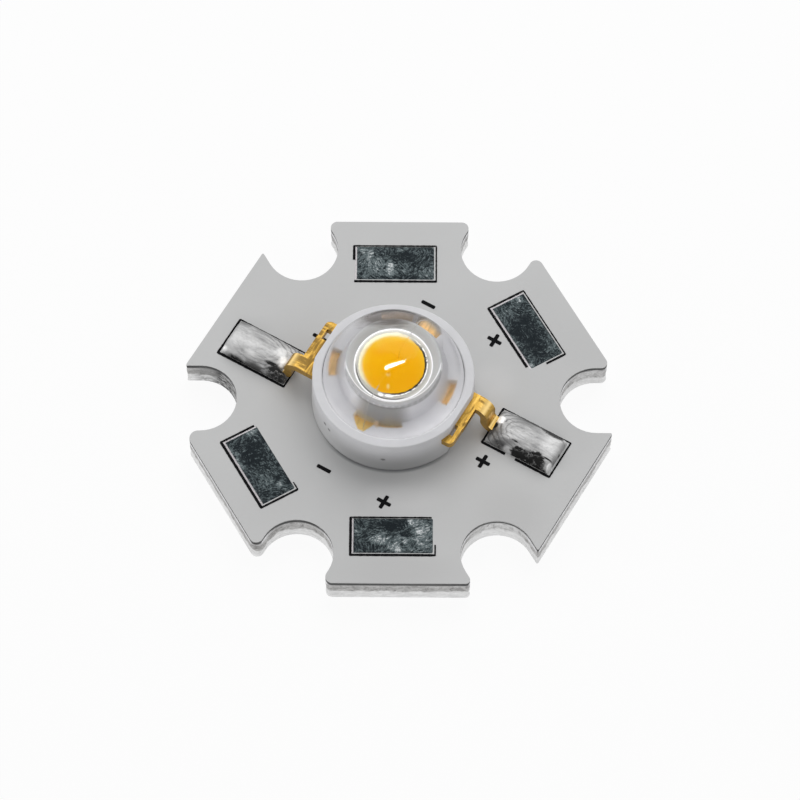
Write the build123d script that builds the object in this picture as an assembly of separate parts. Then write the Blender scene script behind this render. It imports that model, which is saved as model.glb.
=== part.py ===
"""High power LED on a six-pointed metal-core board.

The board lies on the XY plane with its underside at Z = 0 and its outline centred on the origin.
+X points to one of the slots, and +Z points the way the light leaves.
All lengths are in millimetres and all angles in degrees.
"""
import os
from math import cos, hypot, radians, sqrt, tan

from build123d import *

# Board outline
flat_across = 20.0  # between two opposite straight sides
slot_radius = 1.80  # screw slot, half its width
slot_centre_radius = 9.73  # from the board's centre to the centre of a slot's round end
slot_angles = range(0, 360, 60)
sharp_corner = 0.06
worn_corner = 0.34
# Corner radii beside each slot: clockwise side, then anticlockwise side
corner_radii = {
    0: (sharp_corner, 0.30),
    60: (worn_corner, worn_corner),
    120: (worn_corner, sharp_corner),
    180: (sharp_corner, 0.42),
    240: (worn_corner, worn_corner),
    300: (0.22, sharp_corner),
}

# Board layers, from the underside up
core_thickness = 1.40
dielectric_thickness = 0.10
copper_thickness = 0.07
mask_cover = 0.03  # solder mask over the copper

# The printed and copper pattern sits a little off the outline's centre
pattern_x = -0.24
pattern_y = 0.09

# Copper
copper_margin = 0.60  # bare border along the outline and the slots
copper_gap = 0.40  # between neighbouring copper areas
thermal_copper_radius = 3.00
mask_overlap = 0.10  # solder mask over the edge of the thermal copper

# Polarity: the anode side faces this way, and the cathode side is opposite
anode_angle = -30.0

# Open pads, each lying along a straight side of the board
open_pad_length = 3.94
open_pad_width = 1.86
open_pad_radius = 7.55
anode_open_pads = {"tin_pad_upper_right": 30.0, "tin_pad_bottom": -90.0}
cathode_open_pads = {"tin_pad_top": 90.0, "tin_pad_lower_left": -150.0}
tin_thickness = 0.045
tin_clearance = 0.03  # from the edge of the mask's window
tin_crown = 0.015

# Pads under the two leads, pointing outwards
lead_pad_length = 3.60
lead_pad_width = 1.96
lead_pad_radius = 6.83
lead_pad_offset = 1.15  # sideways, anticlockwise of the line through the centre
pad_corner = 0.08

# Printed outline round each pad
open_print_gap = 0.03  # from an open pad's edge to the inside of the line
lead_print_gap = 0.04  # the same for the pads under the leads
print_width = 0.10
print_thickness = 0.015

# Package body
body_foot_radius = 4.02
body_top_radius = 3.955
body_height = 2.33
body_standoff = 0.04  # the plastic clears the board by this much
body_flat = 3.80  # from the axis to the flat where a lead comes out
body_edge_round = 0.07
body_edge_share = 0.45  # the most of the wall's thickness that one rounded edge takes
floor_height = 2.00  # where the lens stands, above the board
collar_radius = 1.95
collar_height = 3.12
collar_lip = 0.10

# Heat slug with its reflector cup
slug_foot_radius = 2.75
slug_foot_thickness = 0.60
slug_standoff = 0.02  # the slug's underside above the board's face
slug_neck_radius = 1.52
slug_rim_height = 2.86
slug_rib_radius = 1.80
slug_rib_height = 0.95
slug_rib_thickness = 0.22
cup_rim_radius = 1.27
cup_floor_radius = 0.80
cup_depth = 0.55
slug_edge = 0.08

# Lens
lens_radius = 3.50  # outer sphere
lens_centre_height = 1.75  # of that sphere, above the board
lens_wall = 0.50
lens_skirt_radius = 3.44
lens_clearance = 0.03

# Leads
lead_thickness = 0.40
lead_shift = 0.14  # the lead frame sits this much off the package's axis, towards the cathode
lead_side_shift = 0.14  # and this much across that line, anticlockwise
lead_top_height = 1.70  # above the board
finger_clearance = 0.06  # from the slug's neck to the fingers
finger_outer_radius = 2.90
finger_start = -106.0  # seen from the lead's own side
finger_end = 36.0
paddle_outer_radius = 3.20
bar_inner = 4.12  # of its free part
bar_outer = 4.37
bar_step = 0.02  # the free part of the bar is set back this much
bar_start = -1.46
bar_wide_start = -0.40
hook_width = 0.46
hook_round = 0.28
leg_start = 0.84
leg_end = 1.62
leg_centre_radius = 4.84  # of its upright stretch
leg_bend = 0.28  # inner radius of its bends
foot_end_radius = 6.30
foot_clearance = 0.03  # solder under the foot
root_overlap = 0.40  # the bar and its hook start this far inside the fingers
paddle_margin = 6.0  # degrees of paddle on each side of its window

# Windows in the package floor, each over a finger: polar points, radius and angle
window_inset = 0.01  # from the collar
bond_window_outer = 2.97
bond_window_shoulder = 2.30
bond_window_angles = (-104.0, -92.0, -86.0, -80.0)
side_window = (-76.0, -50.0, 2.30)  # from, to, outer radius
lead_window = (0.0, 28.0, 2.46)

# Chip and its wires
chip_size = 1.00
chip_thickness = 0.15
attach_thickness = 0.02
attach_margin = 0.04
wire_diameter = 0.03
wire_chip_radius = 0.30
wire_rise_radius = 0.46
wire_clearance = 0.26  # from the collar's top up to the wire
wire_bend = 0.25
bond_share = 0.53  # of the way from the collar to the lens's foot, where the wire lands
phosphor_crown = 0.04

# Solder joints
solder_film = 0.07  # above the board, over the whole pad
solder_height = 0.68  # of the dome's crown above the board
solder_half_length = 2.00  # of the whole dome, which the pad's edges cut off
solder_half_width = 0.98
solder_lean = 0.55  # the crown stands this much nearer the lead

# Heights worked out from the layers
dielectric_base = core_thickness
copper_base = dielectric_base + dielectric_thickness
copper_top = copper_base + copper_thickness
board_top = copper_top + mask_cover
floor_z = board_top + floor_height
body_top = board_top + body_height
lead_top = board_top + lead_top_height
lead_bottom = lead_top - lead_thickness
lens_centre_z = board_top + lens_centre_height
slug_base = board_top + slug_standoff
slug_rim = board_top + slug_rim_height
cup_floor = slug_rim - cup_depth
cathode_angle = anode_angle + 180.0
lens_foot_inner = sqrt((lens_radius - lens_wall) ** 2 - (floor_height - lens_centre_height) ** 2)
bond_radius = collar_radius + bond_share * (lens_foot_inner - collar_radius)
wire_peak = board_top + collar_height + wire_clearance
finger_inner_radius = slug_neck_radius + finger_clearance + hypot(lead_shift, lead_side_shift)
window_inner_radius = collar_radius + window_inset
root_start = finger_outer_radius - root_overlap
beyond = 2 * flat_across  # reaches past everything
rising = (Align.CENTER, Align.CENTER, Align.MIN)  # a solid that stands on its place

# Where a slot's straight wall meets the board's straight side, measured out from the board's centre
slot_mouth_reach = (flat_across / 2 - slot_radius / 2) / cos(radians(30))
slot_wall = slot_mouth_reach - slot_centre_radius
# The corner there is 60 degrees, so its round takes radius / tan(30) of the slot's wall.
# A slot without a straight wall leaves only its round end to take the corner's round.
corner_limit = 0.95 * slot_wall * tan(radians(30)) if slot_wall > 0 else slot_radius / 2

pattern = Location((pattern_x, pattern_y, 0))


def polar(radius, angle):
    """Point at a radius and an angle."""
    return Vector(radius, 0).rotate(Axis.Z, angle)


def slot_tool(extra=0.0):
    """Round-ended slots that run out through the six points, widened by extra."""
    length = flat_across / 2
    slot = SlotCenterToCenter(length, 2 * (slot_radius + extra))
    middle = slot_centre_radius + length / 2
    return Sketch() + [Rot(Z=angle) * Pos(middle, 0) * slot for angle in slot_angles]


def board_outline():
    """Hexagon with a slot in each point and rounded corners beside the slots."""
    outline = RegularPolygon(flat_across / 2, 6, major_radius=False) - slot_tool()
    for slot_angle, radii in corner_radii.items():
        for side, radius in zip((-1, 1), radii):
            place = Vector(slot_mouth_reach, side * slot_radius).rotate(Axis.Z, slot_angle)
            corner = outline.vertices().sort_by_distance(place)[0]
            outline = fillet(corner, min(radius, corner_limit))
    return outline


def slab(sketch, base, thickness):
    """Flat layer of a given thickness on a given height."""
    return extrude(Pos(0, 0, base) * sketch, thickness)


def disc(radius):
    """Round area centred on the pattern."""
    return pattern * Circle(radius)


def copper_side(angle):
    """Copper area on the side of the board that faces angle."""
    inset = flat_across / 2 - copper_margin
    area = RegularPolygon(inset, 6, major_radius=False) - slot_tool(copper_margin)
    half = pattern * Rot(Z=angle) * Pos(copper_gap / 2 + beyond / 2, 0) * Rectangle(beyond, beyond)
    return area & half - disc(thermal_copper_radius + copper_gap)


def open_pad_place(angle):
    """Centre and turn of an open pad: its length runs along the board's side."""
    return pattern * Rot(Z=angle) * Pos(open_pad_radius, 0) * Rot(Z=90)


def lead_pad_place(angle):
    """Centre and turn of the pad under a lead: its length points outwards."""
    return pattern * Rot(Z=angle) * Pos(lead_pad_radius, lead_pad_offset)


def open_pad(shrink=0.0):
    """Outline of an open pad, smaller by shrink on each side."""
    return RectangleRounded(open_pad_length - 2 * shrink, open_pad_width - 2 * shrink, pad_corner)


def lead_pad():
    """Outline of the pad under a lead."""
    return RectangleRounded(lead_pad_length, lead_pad_width, pad_corner)


def pad_windows():
    """Openings in the solder mask over the six pads."""
    angles = [*anode_open_pads.values(), *cathode_open_pads.values()]
    windows = [open_pad_place(angle) * open_pad() for angle in angles]
    windows += [lead_pad_place(angle) * lead_pad() for angle in (anode_angle, cathode_angle)]
    return Sketch() + windows


def print_frame(length, width, gap):
    """Printed line round a pad of the given size."""
    inner = Rectangle(length + 2 * gap, width + 2 * gap)
    reach = gap + print_width
    return Rectangle(length + 2 * reach, width + 2 * reach) - inner


def make_board():
    """Core, dielectric, copper, solder mask and printed outlines."""
    outline = board_outline()
    parts = {
        "aluminium_core": slab(outline, 0, core_thickness),
        "dielectric_layer": slab(outline, dielectric_base, dielectric_thickness),
        "anode_copper": slab(copper_side(anode_angle), copper_base, copper_thickness),
        "cathode_copper": slab(copper_side(cathode_angle), copper_base, copper_thickness),
        "thermal_copper": slab(disc(thermal_copper_radius), copper_base, copper_thickness),
    }
    openings = pad_windows() + disc(thermal_copper_radius - mask_overlap)
    mask = slab(outline, copper_base, copper_thickness + mask_cover) - slab(openings, copper_base, beyond)
    for name in ("anode_copper", "cathode_copper", "thermal_copper"):
        mask -= parts[name]
    parts["solder_mask"] = mask
    angles = [*anode_open_pads.values(), *cathode_open_pads.values()]
    open_frame = print_frame(open_pad_length, open_pad_width, open_print_gap)
    lead_frame = print_frame(lead_pad_length, lead_pad_width, lead_print_gap)
    frames = [open_pad_place(angle) * open_frame for angle in angles]
    frames += [lead_pad_place(angle) * lead_frame for angle in (anode_angle, cathode_angle)]
    parts["pad_outlines"] = slab(Sketch() + frames, board_top, print_thickness)
    return parts


def tin_pad(angle):
    """Tin on an open pad, with a slightly crowned top."""
    edge = tin_clearance + tin_crown
    foot = slab(open_pad(tin_clearance), copper_top, tin_thickness - tin_crown)
    crown = loft([
        Pos(0, 0, copper_top + tin_thickness - tin_crown) * open_pad(tin_clearance),
        Pos(0, 0, copper_top + tin_thickness) * open_pad(edge + tin_clearance),
    ])
    return open_pad_place(angle) * (foot + crown)


def finger_sector(inner, outer, start, end):
    """Flat ring sector between two radii and two angles."""
    corners = [polar(beyond, start + (end - start) * step / 4) for step in range(5)]
    wedge = Polygon((0, 0), *corners, align=None)
    return (Circle(outer) - Circle(inner)) & wedge


def lead_plate():
    """Flat stamping of one lead, seen from above, with the lead pointing along +X."""
    fingers = finger_sector(finger_inner_radius, finger_outer_radius, finger_start, finger_end)
    first = bond_window_angles[0] - paddle_margin
    last = bond_window_angles[-1] + paddle_margin
    paddle = finger_sector(finger_inner_radius, paddle_outer_radius, first, last)
    root = Pos(root_start, bar_wide_start) * Rectangle(
        bar_outer - root_start, leg_end - bar_wide_start, align=(Align.MIN, Align.MIN))
    free_end = bar_outer - bar_step
    bar = Pos(bar_inner, bar_start) * Rectangle(
        free_end - bar_inner, bar_wide_start - bar_start, align=(Align.MIN, Align.MIN))
    hook = Pos(root_start, bar_start) * Rectangle(
        free_end - root_start, hook_width, align=(Align.MIN, Align.MIN))
    plate = fingers + paddle + root + bar + hook
    corner = plate.vertices().sort_by_distance((free_end, bar_start))[0]
    return fillet(corner, hook_round)


def lead_leg():
    """Leg from the bar, down to the pad and out along it."""
    top = lead_top - lead_thickness / 2
    low = board_top + foot_clearance + lead_thickness / 2
    points = [
        (bar_inner, 0, top),
        (leg_centre_radius, 0, top),
        (leg_centre_radius, 0, low),
        (foot_end_radius, 0, low),
    ]
    path = FilletPolyline(*points, radius=leg_bend + lead_thickness / 2)
    start = Plane(origin=points[0], x_dir=(0, 1, 0), z_dir=(1, 0, 0))
    section = start * Rectangle(leg_end - leg_start, lead_thickness)
    return Pos(0, (leg_start + leg_end) / 2, 0) * sweep(section, path)


def lead(angle):
    """Whole lead, from the fingers inside the package to the foot on its pad."""
    shift = Vector(lead_shift, lead_side_shift).rotate(Axis.Z, cathode_angle)
    whole = slab(lead_plate(), lead_bottom, lead_thickness) + lead_leg()
    return pattern * Pos(shift) * Rot(Z=angle) * whole


def floor_windows():
    """Openings in the package floor over one lead, with the lead pointing along +X."""
    first, low, high, last = bond_window_angles
    bond_window = Polygon(
        polar(window_inner_radius, first),
        polar(bond_window_shoulder, first),
        polar(bond_window_outer, low),
        polar(bond_window_outer, high),
        polar(bond_window_shoulder, last),
        polar(window_inner_radius, last),
        align=None,
    ) - Circle(window_inner_radius)
    others = []
    for start, end, outer in (side_window, lead_window):
        others.append(finger_sector(window_inner_radius, outer, start, end))
    return bond_window + others


def heat_slug():
    """Turned copper slug with a locking rib and a reflector cup in its top."""
    foot_top = slug_base + slug_foot_thickness
    rib_base = board_top + slug_rib_height
    rib_top = rib_base + slug_rib_thickness
    outline = Polyline(
        (0, slug_base),
        (slug_foot_radius - slug_edge, slug_base),
        (slug_foot_radius, slug_base + slug_edge),
        (slug_foot_radius, foot_top),
        (slug_neck_radius, foot_top),
        (slug_neck_radius, rib_base),
        (slug_rib_radius, rib_base),
        (slug_rib_radius, rib_top),
        (slug_neck_radius, rib_top),
        (slug_neck_radius, slug_rim),
        (cup_rim_radius, slug_rim),
        (cup_floor_radius, cup_floor),
        (0, cup_floor),
        close=True,
    )
    return pattern * revolve(Plane.XZ * make_face(outline), Axis.Z)


def package_body(slug, leads):
    """Moulded body: a drafted wall, a recess for the lens and a collar round the slug's neck."""
    base = board_top + body_standoff
    collar_top = board_top + collar_height
    recess = lens_skirt_radius + lens_clearance
    outline = Polyline(
        (0, base),
        (body_foot_radius, base),
        (body_top_radius, body_top),
        (recess, body_top),
        (recess, floor_z),
        (collar_radius, floor_z),
        (collar_radius, collar_top),
        (collar_radius - collar_lip, collar_top),
        (slug_neck_radius, slug_rim),
        (0, slug_rim),
        close=True,
    )
    section = make_face(outline)
    edges = ((body_top_radius, body_top), (recess, body_top))
    rims = [section.vertices().sort_by_distance(place)[0] for place in edges]
    section = fillet(rims, min(body_edge_round, body_edge_share * (body_top_radius - recess)))
    body = revolve(Plane.XZ * section, Axis.Z)
    for angle in (anode_angle, cathode_angle):
        body -= Rot(Z=angle) * Pos(body_flat + beyond / 2, 0, 0) * Box(beyond, beyond, beyond)
        body -= Rot(Z=angle) * slab(floor_windows(), lead_top, floor_height)
    body = pattern * body - slug
    for piece in leads:
        body -= piece
    return body.solids().sort_by(SortBy.VOLUME)[-1]


def lens_arc_radius(radius, height):
    """Radius of a sphere about the lens centre at a given height."""
    return sqrt(radius**2 - (height - lens_centre_z) ** 2)


def lens_inside():
    """Space under the lens, down to the leads."""
    inner = lens_radius - lens_wall
    dome = Pos(0, 0, lens_centre_z) * Sphere(inner)
    foot = lens_arc_radius(inner, floor_z)
    below = Pos(0, 0, lead_top) * Cylinder(foot, floor_z - lead_top, align=rising)
    above = Pos(0, 0, floor_z) * Box(beyond, beyond, beyond, align=rising)
    return pattern * ((dome & above) + below)


def lens():
    """Clear dome with a short skirt that stands in the body's recess."""
    dome = Pos(0, 0, lens_centre_z) * Sphere(lens_radius)
    skirt = Pos(0, 0, floor_z) * Cylinder(lens_skirt_radius, beyond, align=rising)
    return pattern * (dome & skirt) - lens_inside()


def chip_and_attach():
    """Square chip on its layer of die attach, on the floor of the cup."""
    place = pattern * Rot(Z=anode_angle) * Pos(0, 0, cup_floor)
    attach_side = chip_size - 2 * attach_margin
    attach = place * Box(attach_side, attach_side, attach_thickness, align=rising)
    chip = place * Pos(0, 0, attach_thickness) * Box(chip_size, chip_size, chip_thickness, align=rising)
    return chip, attach


def bond_wire(angle):
    """Gold wire from the chip, over the cup and the collar, to the finger of the lead at angle."""
    chip_top = cup_floor + attach_thickness + chip_thickness
    points = [
        (wire_chip_radius, 0, chip_top),
        (wire_rise_radius, 0, wire_peak),
        (bond_radius - wire_bend, 0, wire_peak),
        (bond_radius, 0, lead_top),
    ]
    path = FilletPolyline(*points, radius=wire_bend)
    start = Plane(origin=points[0], z_dir=path % 0)
    wire = sweep(start * Circle(wire_diameter / 2), path)
    middle = (bond_window_angles[1] + bond_window_angles[2]) / 2
    wire = Rot(Z=angle + middle) * wire
    room = Pos(0, 0, chip_top) * Box(beyond, beyond, beyond, align=rising)
    inner = Pos(0, 0, lead_top) * Box(beyond, beyond, beyond, align=rising)
    near = Cylinder(window_inner_radius, beyond)
    # The swept ends stick out of the chip's and the finger's faces, so each is cut flush with its face
    wire = (wire & near & room) + (wire & inner - near)
    return pattern * wire


def phosphor_fill():
    """Resin that fills the cup round the chip, with a slightly crowned top."""
    crown_radius = (cup_rim_radius**2 + phosphor_crown**2) / (2 * phosphor_crown)
    ball = Pos(0, 0, slug_rim + phosphor_crown - crown_radius) * Sphere(crown_radius)
    column = Pos(0, 0, slug_rim) * Cylinder(cup_rim_radius, cup_depth, align=rising)
    cup = Pos(0, 0, cup_floor) * Cone(cup_floor_radius, cup_rim_radius, cup_depth, align=rising)
    return pattern * (cup + (ball & column))


def thermal_paste():
    """Joint between the thermal copper and the slug."""
    return slab(disc(slug_foot_radius - slug_edge), copper_top, slug_base - copper_top)


def solder_joint(angle, own_lead):
    """Film of solder over a lead's pad, with a flowed dome over the lead's foot."""
    film = slab(lead_pad(), copper_top, mask_cover + solder_film)
    ball = scale(Sphere(1), by=(solder_half_length, solder_half_width, solder_height))
    dome = Pos(-solder_lean, 0, board_top) * ball & slab(lead_pad(), board_top, solder_height)
    return lead_pad_place(angle) * (film + dome) - own_lead


def make_package():
    """Slug, body, leads, chip, wires, fills, lens and the solder that holds them."""
    slug = heat_slug()
    leads = {"anode": lead(anode_angle), "cathode": lead(cathode_angle)}
    wires = {"anode": bond_wire(anode_angle), "cathode": bond_wire(cathode_angle)}
    chip, attach = chip_and_attach()
    body = package_body(slug, leads.values())
    phosphor = phosphor_fill() - chip - attach
    gel = lens_inside() - body - slug - phosphor_fill()
    for side in ("anode", "cathode"):
        phosphor -= wires[side]
        gel = gel - leads[side] - wires[side]
    parts = {
        "heat_slug": slug,
        "package_body": body,
        "anode_lead": leads["anode"],
        "cathode_lead": leads["cathode"],
        "die_attach": attach,
        "led_chip": chip,
        "anode_wire": wires["anode"],
        "cathode_wire": wires["cathode"],
        "phosphor_fill": phosphor,
        "silicone_gel": gel,
        "lens": lens(),
        "thermal_paste": thermal_paste(),
        "solder_joint_anode": solder_joint(anode_angle, leads["anode"]),
        "solder_joint_cathode": solder_joint(cathode_angle, leads["cathode"]),
    }
    return parts


def main():
    """Build every piece and write one file for each."""
    parts = make_board()
    for name, angle in {**anode_open_pads, **cathode_open_pads}.items():
        parts[name] = tin_pad(angle)
    parts.update(make_package())
    os.makedirs("parts", exist_ok=True)
    for name, shape in parts.items():
        solids = shape.solids()
        export_step(solids[0] if len(solids) == 1 else Compound(children=list(solids)), f"parts/{name}.step")
        box = shape.bounding_box()
        print(f"{name}: {len(solids)} solids, {shape.volume:.4f} mm3, z {box.min.Z:.3f} to {box.max.Z:.3f}")


if __name__ == "__main__":
    main()
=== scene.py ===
"""Finish for a power LED soldered to its six-pointed metal-core board.

Lengths in the settings are metres. Shaders and the shape helpers work in millimetres, and turn them back at the end.
"""

import math

import bmesh
import bpy
import numpy as np
from bpy.props import FloatProperty, FloatVectorProperty, IntProperty, PointerProperty
from mathutils import Matrix, Vector, noise


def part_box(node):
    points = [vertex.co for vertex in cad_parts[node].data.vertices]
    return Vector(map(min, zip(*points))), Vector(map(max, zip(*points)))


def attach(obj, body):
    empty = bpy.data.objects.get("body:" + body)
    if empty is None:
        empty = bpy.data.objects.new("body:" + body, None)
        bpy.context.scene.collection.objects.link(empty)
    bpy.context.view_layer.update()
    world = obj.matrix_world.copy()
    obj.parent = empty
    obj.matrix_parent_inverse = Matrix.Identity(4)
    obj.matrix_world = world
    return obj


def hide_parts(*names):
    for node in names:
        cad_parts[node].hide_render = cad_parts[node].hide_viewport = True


bl_info = {
    "name": "LED on a six-pointed board",
    "version": (1, 0, 0),
    "blender": (4, 5, 0),
    "location": "View3D > Sidebar > LED board",
    "description": "Dresses the packed LED board with printed, soldered, gilded and clear parts",
    "category": "Object",
}

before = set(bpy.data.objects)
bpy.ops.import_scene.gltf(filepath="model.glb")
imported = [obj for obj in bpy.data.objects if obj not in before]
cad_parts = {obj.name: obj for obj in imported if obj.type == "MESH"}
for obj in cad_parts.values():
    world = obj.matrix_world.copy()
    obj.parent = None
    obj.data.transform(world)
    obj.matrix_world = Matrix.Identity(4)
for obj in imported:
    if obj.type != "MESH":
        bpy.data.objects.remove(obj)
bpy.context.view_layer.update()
MM = 0.001


def span(node):
    """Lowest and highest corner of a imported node, in millimetres."""
    low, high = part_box(node)
    return np.array(low) / MM, np.array(high) / MM


CORE_HIGH = span("aluminium_core")[1]
SLUG_LOW, SLUG_HIGH = span("heat_slug")
LENS_LOW, LENS_HIGH = span("lens")
CUP_LOW, CUP_HIGH = span("phosphor_fill")
MASK_HIGH, BODY_HIGH, LEAD_HIGH = (span(node)[1] for node in ("solder_mask", "package_body", "anode_lead"))
AXIS = (SLUG_LOW + SLUG_HIGH)[:2] / 2
BOARD_TOP = MASK_HIGH[2]
BOARD_MIDDLE = np.zeros(2)
ANODE_ANGLE = -30.0
CATHODE_ANGLE = 150.0
OPEN_PADS = ("tin_pad_top", "tin_pad_upper_right", "tin_pad_bottom", "tin_pad_lower_left")
SOLDERED_PADS = {"solder_joint_anode": ANODE_ANGLE, "solder_joint_cathode": CATHODE_ANGLE}


# Settings


def amount(name, description, default, **limits):
    """A number that a user can change."""
    return FloatProperty(name=name, description=description, default=default, **limits)


def length(name, description, millimetres, low=0.0):
    """A length that a user can change."""
    return amount(name, description, millimetres * MM, min=low * MM, unit="LENGTH")


def swing(name, description, degrees):
    """An angle that a user can change."""
    return amount(name, description, math.radians(degrees), subtype="ANGLE")


def tint(name, description, default):
    """A colour that a user can change."""
    return FloatVectorProperty(
        name=name, description=description, default=default, size=3, min=0.0, max=1.0, subtype="COLOR")


class LedBoardSettings(bpy.types.PropertyGroup):
    """Board: coat, resin, core and print."""

    coat: tint("Coat", "Colour of the white solder mask", (0.585, 0.588, 0.588))
    resin: tint("Resin", "Colour of the insulating layer at the punched edge", (0.035, 0.035, 0.036))
    metal: tint("Core metal", "Colour of the aluminium core", (0.60, 0.60, 0.61))
    torn: tint("Torn metal", "Colour of the torn part of the punched edge", (0.50, 0.495, 0.49))
    ink: tint("Ink", "Colour of the printed lines and marks", (0.006, 0.006, 0.007))
    edge_step: length("Edge step", "Distance between points along the punched edge", 0.055)
    torn_from: length("Torn from", "Height where the punched edge starts to tear", 0.86)
    torn_depth: length("Torn depth", "How far the torn metal stands back", 0.045)
    line_width: length("Line width", "Width of the line printed round a pad", 0.100)
    line_shift: length("Line shift", "How much thicker the print is on one side", 0.022)
    mark_length: length("Mark length", "Length of a stroke of a polarity mark", 0.76)
    mark_width: length("Mark width", "Width of a stroke of a polarity mark", 0.19)
    ink_height: length("Ink height", "Thickness of the print", 0.015)


class LedMetalSettings(bpy.types.PropertyGroup):
    """Tin, solder, gold, silver and copper."""

    # The tin's tones are painted: a dark reflection on pale tin, and highlights for the bright streaks
    tin_dark: tint("Dark tin", "Darkest tone of the open pads", (0.006, 0.009, 0.011))
    tin_pale: tint("Pale tin", "Tone of the paler grains of the open pads", (0.072, 0.090, 0.094))
    tin_bright: tint("Bright tin", "Tone of the bright streaks on the open pads", (0.34, 0.355, 0.36))
    tin_relief: length("Tin relief", "Height of the waves in the tin", 0.018)
    solder: tint("Solder", "Colour of the flowed solder", (0.47, 0.47, 0.47))
    gold: tint("Gold", "Colour of the gilded leads", (0.38, 0.225, 0.040))
    gold_worn: tint("Worn gold", "Colour of the darker streaks along the leads", (0.13, 0.075, 0.016))
    gold_bright: tint("Bright gold", "Colour of the rubbed gold on edges and bends", (0.80, 0.49, 0.12))
    silver: tint("Silver", "Colour of the plated cup", (0.60, 0.59, 0.54))
    tinned: tint("Tinned copper", "Colour of the tinned copper at a pad's edge", (0.50, 0.50, 0.50))
    lead_round: length("Lead edge", "Round along the edges of the leads", 0.035)


class LedPackageSettings(bpy.types.PropertyGroup):
    """Moulded body, clear dome and filled cup."""

    plastic: tint("Plastic", "Colour of the moulded body", (0.74, 0.74, 0.76))
    # Painted shade low on the body's wall
    wall: tint("Wall", "Darker tone at the foot of the body's wall", (0.57, 0.57, 0.575))
    # Recess: pale as painted light under the dome
    recess: tint("Recess", "Colour of the clean recess under the dome", (0.99, 0.99, 1.0))
    # Shade: colour of the painted brown shade behind the cup
    shade: tint("Shade", "Colour of the brown stain behind the cup", (0.075, 0.055, 0.04))
    pit: tint("Pits", "Colour of the small pits in the moulding", (0.10, 0.10, 0.10))
    phosphor: tint("Phosphor", "Colour of the resin in the cup", (0.98, 0.48, 0.0))
    phosphor_rim: tint("Phosphor rim", "Paler tone near the edge of the cup", (1.0, 0.60, 0.03))
    # Glow: emission that stands in for the phosphor's fluorescence, painted light
    glow: amount("Glow", "How far the phosphor brightens by turning blue light yellow", 0.14, min=0.0, max=1.0)
    dome: tint("Dome", "Tint of the clear dome", (0.985, 0.98, 1.0))
    chip: tint("Chip", "Colour of the chip", (0.10, 0.14, 0.28))
    paste: tint("Paste", "Colour of the thermal paste", (0.72, 0.72, 0.70))
    dome_segments: IntProperty(
        name="Dome segments", description="Steps round the clear dome", default=224, min=16, max=512)


class LedStageSettings(bpy.types.PropertyGroup):
    """Camera, lamps and floor."""

    elevation: swing("Elevation", "Height of the camera over the horizon", 62.4495)
    azimuth: swing("Azimuth", "Turn of the camera round the board", 0.3773)
    roll: swing("Roll", "Roll of the camera", 0.0383)
    distance: length("Distance", "From the camera to the board", 234.227)
    aim_right: length("Aim right", "Sideways offset of the camera", 0.0849, low=-10.0)
    aim_up: length("Aim up", "Upward offset of the camera", -0.0460, low=-10.0)
    focal: amount("Focal length", "Focal length of the camera, in millimetres of a 36 mm sensor", 214.61, min=1.0)
    panel_light: amount("Panel light", "Radiance of the large soft panel", 1.86, min=0.0)
    strip_light: amount("Strip light", "Radiance of the strip that lights the dome alone", 150.0, min=0.0)
    side_light: amount("Side light", "Radiance of the low panel on the left", 3.3, min=0.0)
    fill_light: amount("Fill light", "Radiance of the surroundings", 0.40, min=0.0)
    front_light: amount("Front light", "Radiance of the panel behind the camera", 0.9, min=0.0)
    floor: tint("Floor", "Colour of the floor", (0.86, 0.86, 0.86))


SETTINGS = {
    "led_board": LedBoardSettings,
    "led_metal": LedMetalSettings,
    "led_package": LedPackageSettings,
    "led_stage": LedStageSettings,
}


# Node trees


class Wire:
    """Output of a node. Sums, products and comparisons of wires and numbers add their own nodes."""

    def __init__(self, tree, socket):
        self.tree = tree
        self.socket = socket

    def maths(self, operation, *others):
        """Math node that starts from this wire."""
        return self.tree.node("ShaderNodeMath", (self, *others), operation=operation)

    def reflected(self, operation, other):
        """Math node that starts from the other value."""
        return self.tree.node("ShaderNodeMath", (other, self), operation=operation)

    def __add__(self, other):
        return self.maths("ADD", other)

    def __radd__(self, other):
        return self.reflected("ADD", other)

    def __sub__(self, other):
        return self.maths("SUBTRACT", other)

    def __rsub__(self, other):
        return self.reflected("SUBTRACT", other)

    def __mul__(self, other):
        return self.maths("MULTIPLY", other)

    def __rmul__(self, other):
        return self.reflected("MULTIPLY", other)

    def __truediv__(self, other):
        return self.maths("DIVIDE", other)

    def __rtruediv__(self, other):
        return self.reflected("DIVIDE", other)

    def __pow__(self, other):
        return self.maths("POWER", other)

    def __lt__(self, other):
        return self.maths("LESS_THAN", other)

    def __gt__(self, other):
        return self.maths("GREATER_THAN", other)

    def __abs__(self):
        return self.maths("ABSOLUTE")

    def most(self, other):
        """The higher of two values."""
        return self.maths("MAXIMUM", other)

    def ease(self, low, high):
        """Nothing at low, one at high, and a smooth rise between them."""
        return self.tree.node(
            "ShaderNodeMapRange", {"Value": self, "From Min": low, "From Max": high},
            interpolation_type="SMOOTHSTEP")

    def fade(self, low, high):
        """One at low, nothing at high, and a smooth fall between them."""
        return 1 - self.ease(low, high)

    def near(self, value, inner, outer):
        """One within an inner distance of a value, and nothing beyond an outer one."""
        return abs(self - value).fade(inner, outer)

    def vector(self, operation, *others, output=0, **named):
        """Vector Math node that starts from this wire."""
        inputs = {**dict(enumerate((self, *others))), **named}
        return self.tree.node("ShaderNodeVectorMath", inputs, output, operation=operation)

    def along(self, direction):
        """Part of this vector that lies along a direction."""
        return self.vector("DOT_PRODUCT", direction, output="Value")

    def far_from(self, point):
        """Distance of this vector's tip from a point."""
        return self.vector("DISTANCE", point, output="Value")

    def part(self, index):
        """First, second or third part of this vector."""
        return self.tree.node("ShaderNodeSeparateXYZ", (self,), index)


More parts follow.
